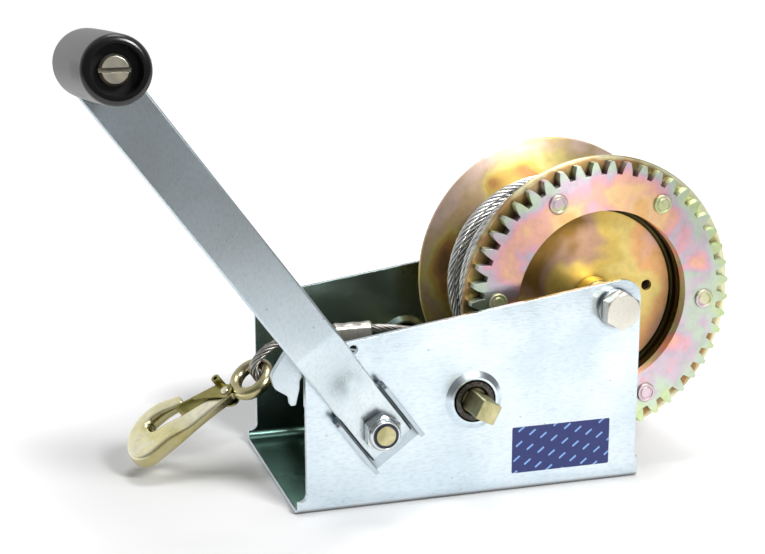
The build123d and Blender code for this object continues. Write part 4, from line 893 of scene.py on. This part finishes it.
# Free rope: the same rope's end, greasy from use. It leaves the drum after a last, slack turn,
# runs through a sleeve, round the hook's eye and back into the sleeve.
ROUTE = (
    (49.7, 24.3, 42.5), (28.8, 24.3, 54.0), (8.0, 19.5, 65.6), (-15.0, 14.25, 73.9),
    (-36.0, 10.6, 77.0), (-56.0, 9.75, 77.4), (-69.5, 9.75, 76.9), (-83.0, 9.75, 75.0),
    (-94.6, 9.75, 70.2), (-103.6, 9.75, 60.0), (-95.6, 9.75, 49.9), (-83.6, 9.75, 54.6),
    (-71.5, 9.75, 63.4), (-56.0, 9.75, 72.0), (-37.5, 9.75, 72.1),
)
LAST_TURN, LAST_ARC = 24.3 * MM, 334
LAST_SLACK, SLACK_ARC = 3.2 * MM, 170
guide = bpy.data.curves.new("rope_guide", "CURVE")
guide.dimensions = "3D"
guide.resolution_u = 24
line = guide.splines.new("NURBS")
line.points.add(len(ROUTE) - 1)
for point, spot in zip(line.points, ROUTE):
    point.co = [MM * value for value in spot] + [1.0]
line.order_u = 3
line.use_endpoint_u = True
guide_object = bpy.data.objects.new("rope_guide", guide)
scene.collection.objects.link(guide_object)
sampled = bpy.data.meshes.new_from_object(guide_object)
free_points = [tuple(v.co) for v in sampled.vertices]
bpy.data.objects.remove(guide_object)
greasy_wire = galvanised_wire("greasy galvanised wire", dirty="#7b7872", clean="#b3b1ac")
free_rope = lay_strands("free_rope", free_points, greasy_wire)
start = Vector(free_points[0]) - Vector((DRUM_X, LAST_TURN, DRUM_Z - SAG))
start_share = (atan2(start.z, start.x) + pi / 4) / (2 * pi)
last_points = []
for degree in range(0, LAST_ARC + 1, 2):
    share = start_share - degree / 360
    slack = LAST_SLACK * sin(pi * min(degree / SLACK_ARC, 1)) ** 2
    last_points.append(turn_point(share, LAST_TURN, TURN_REACH + slack))
last_turn = lay_strands("last_turn", last_points, wound_wire)
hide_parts("rope_turn")
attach(last_turn, "frame")
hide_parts("rope")
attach(free_rope, "frame")


# Sleeve: an oval aluminium tube, slid over the two runs of rope and pressed on in two places,
# where it is waisted. It closes the eye that holds the hook.
# Places, widths and depths are shares of the sleeve's length or of its radius.
PRESSED_AT, PRESS_WIDTH, PRESS_DEPTH = (0.28, 0.72), 0.1304, 0.10
END_WIDTH, END_DEPTH, SLEEVE_STEPS = 0.04, 0.10, 60
SCUFF, ALUMINIUM = 2 * MM, ((0.0, "#8f8c86"), (1.0, "#cfccc6"))


def pressed_aluminium():
    """Pressed aluminium: a warm pale grey, scuffed and a little lumpy from the press."""
    material, tree, out = new_material("pressed aluminium")
    place = add(tree, "TexCoord").outputs["Object"]
    scuffs = add(tree, "TexNoise", {"Vector": place, "Scale": 1 / SCUFF, "Detail": 4.0})
    tint = add(tree, "ValToRGB", {"Fac": scuffs.outputs["Fac"]}, ALUMINIUM)
    bump = add(tree, "Bump", {"Strength": 0.3, "Distance": 0.2 * MM, "Height": scuffs.outputs["Fac"]})
    metal = add(tree, "BsdfPrincipled", {
        "Base Color": tint.outputs["Color"], "Metallic": 1.0, "Roughness": 0.4,
        "Normal": bump.outputs[0],
    })
    tree.links.new(metal.outputs[0], out.inputs["Surface"])
    return material


sleeve_low, sleeve_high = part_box("rope_ferrule")
sleeve_middle = (sleeve_low + sleeve_high) / 2
sleeve_half = (sleeve_high - sleeve_low) / 2
work = bmesh.new()
rings = []
for step in range(SLEEVE_STEPS + 1):
    share = step / SLEEVE_STEPS
    pressed = max(exp(-((share - spot) / PRESS_WIDTH) ** 2) for spot in PRESSED_AT)
    end = max(0, 1 - min(share, 1 - share) / END_WIDTH) ** 2
    radius = sleeve_half.y * (1 - PRESS_DEPTH * pressed - END_DEPTH * end)
    ring = []
    for degree in range(0, 360, 10):
        run = (sleeve_half.z - sleeve_half.y) * (1 if degree < 180 else -1)
        ring.append(work.verts.new((
            sleeve_low.x + 2 * sleeve_half.x * share,
            sleeve_middle.y + radius * cos(radians(degree)),
            sleeve_middle.z + run + radius * sin(radians(degree)),
        )))
    rings.append(ring)
skin(work, rings, smooth=True)
sleeve = new_piece("pressed_sleeve", work, pressed_aluminium())
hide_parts("rope_ferrule")
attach(sleeve, "frame")


# Hook: drop forged steel, thicker in its bowl, with a pressed sheet latch on a rivet. Both
# are yellow chromate: cream on the flat and olive on the eye, with painted shade darkening the
# rounded edges.
HOOK_SLOPE = radians(36)
PIN_FROM_EYE = 15.0 * MM
# The bowl grows from one distance from the eye to another, by a share of its own height and
# by a skin all round. The neck keeps its edges and the limbs lose theirs.
BOWL_FROM, BOWL_FULL, BOWL_MORE, BOWL_PLUMP = 38 * MM, 54 * MM, 0.8, 0.5 * MM
NECK_END, LIMBS_FROM = 22 * MM, 32 * MM
VOXEL, SKIN_PASSES, EDGE_PASSES = 0.45 * MM, 4, 60
PALE_FILM = ((0.30, "#f3eab0"), (0.44, "#fcf6cc"), (0.57, "#fefadf"), (0.70, "#fae6d2"))
# Painted shade darkens the surface as it turns away from flat, and olive grows from the latch's
# rivet up to the eye; both multiply by one olive grey.
EDGE_SHADE_AND_EYE_OLIVE, ROUND_FROM, ROUND_TO = "#aaa692", 0.85, 0.45
EYE_TO, EYE_FROM, EYE_OLIVE = -8 * MM, 2 * MM, 0.9
OLIVE_FILM = ((0.30, "#7d7a46"), (0.5, "#a29a60"), (0.7, "#b8ad78"))
latch_hinge = next(j for j in frame["record"]["behaviour"]["joints"] if j["name"] == "latch_open")
latch_pivot = Vector(latch_hinge["pos_m"])
face_way = Vector(latch_hinge["axis"]).normalized()
down_hook = Vector((-cos(HOOK_SLOPE), 0, -sin(HOOK_SLOPE)))
forged = yellow_chromate(
    "yellow chromate forging", PALE_FILM, patch=24 * MM, roughness=0.24, edge=1.2 * MM,
)
tree = forged.node_tree
metal = tree.nodes["Principled BSDF"]
coords = add(tree, "TexCoord")
facing = add(tree, "VectorMath", {0: coords.outputs["Normal"], 1: face_way}, operation="DOT_PRODUCT")
flat = add(tree, "Math", {0: facing.outputs["Value"]}, operation="ABSOLUTE")
# Painted shade on the rounded edges, where the surface turns away from flat.
edge_shade = add(tree, "MapRange", {
    "Value": flat.outputs[0], "From Min": ROUND_TO, "From Max": ROUND_FROM, "To Min": 1.0, "To Max": 0.0,
})
from_pin = add(tree, "VectorMath", {0: coords.outputs["Object"], 1: latch_pivot}, operation="SUBTRACT")
along_hook = add(tree, "VectorMath", {0: from_pin.outputs[0], 1: down_hook}, operation="DOT_PRODUCT")
eye = add(tree, "MapRange", {
    "Value": along_hook.outputs["Value"], "From Min": EYE_TO, "From Max": EYE_FROM,
    "To Min": EYE_OLIVE, "To Max": 0.0,
})
shade_and_olive = add(tree, "Math", {0: edge_shade.outputs["Result"], 1: eye.outputs["Result"]}, operation="MAXIMUM")
shaded = add(tree, "Mix", {
    "Factor": shade_and_olive.outputs[0], MIX_A: metal.inputs["Base Color"].links[0].from_socket,
    MIX_B: linear(EDGE_SHADE_AND_EYE_OLIVE),
}, data_type="RGBA", blend_type="MULTIPLY")
tree.links.new(shaded.outputs[MIX_OUT], metal.inputs["Base Color"])
set_finish(forged, "hook", "latch_pin")
latch_sheet = yellow_chromate("yellow chromate latch sheet", OLIVE_FILM, patch=12 * MM, roughness=0.32)
set_finish(latch_sheet, "hook_latch")
blank = bpy.data.objects.new("hook_blank", node["hook"].data)
scene.collection.objects.link(blank)
even_mesh = blank.modifiers.new("even mesh", "REMESH")
even_mesh.mode = "VOXEL"
even_mesh.voxel_size = VOXEL
even_mesh.use_smooth_shade = True
evaluated = blank.evaluated_get(bpy.context.evaluated_depsgraph_get())
hook_mesh = bpy.data.meshes.new_from_object(evaluated)
bpy.data.objects.remove(blank)
hook_mesh.name = "forged_hook"
hook_piece = bpy.data.objects.new("forged_hook", hook_mesh)
scene.collection.objects.link(hook_piece)
limbs = hook_piece.vertex_groups.new(name="limbs")
moves = []
for vert in hook_mesh.vertices:
    from_pivot = vert.co - latch_pivot
    reach = from_pivot.dot(down_hook) + PIN_FROM_EYE
    height = max(from_pivot.dot(face_way), 0)
    fuller = face_way * height * BOWL_MORE + vert.normal * BOWL_PLUMP
    moves.append(fuller * ease(part_way(reach, BOWL_FROM, BOWL_FULL)))
    limbs.add([vert.index], part_way(reach, NECK_END, LIMBS_FROM), "REPLACE")
for vert, move in zip(hook_mesh.vertices, moves):
    vert.co += move
even_skin = hook_piece.modifiers.new("even skin", "SMOOTH")
even_skin.iterations = SKIN_PASSES
round_edges = hook_piece.modifiers.new("forged edges", "SMOOTH")
round_edges.iterations = EDGE_PASSES
round_edges.vertex_group = "limbs"
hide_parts("hook")
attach(hook_piece, "hook")
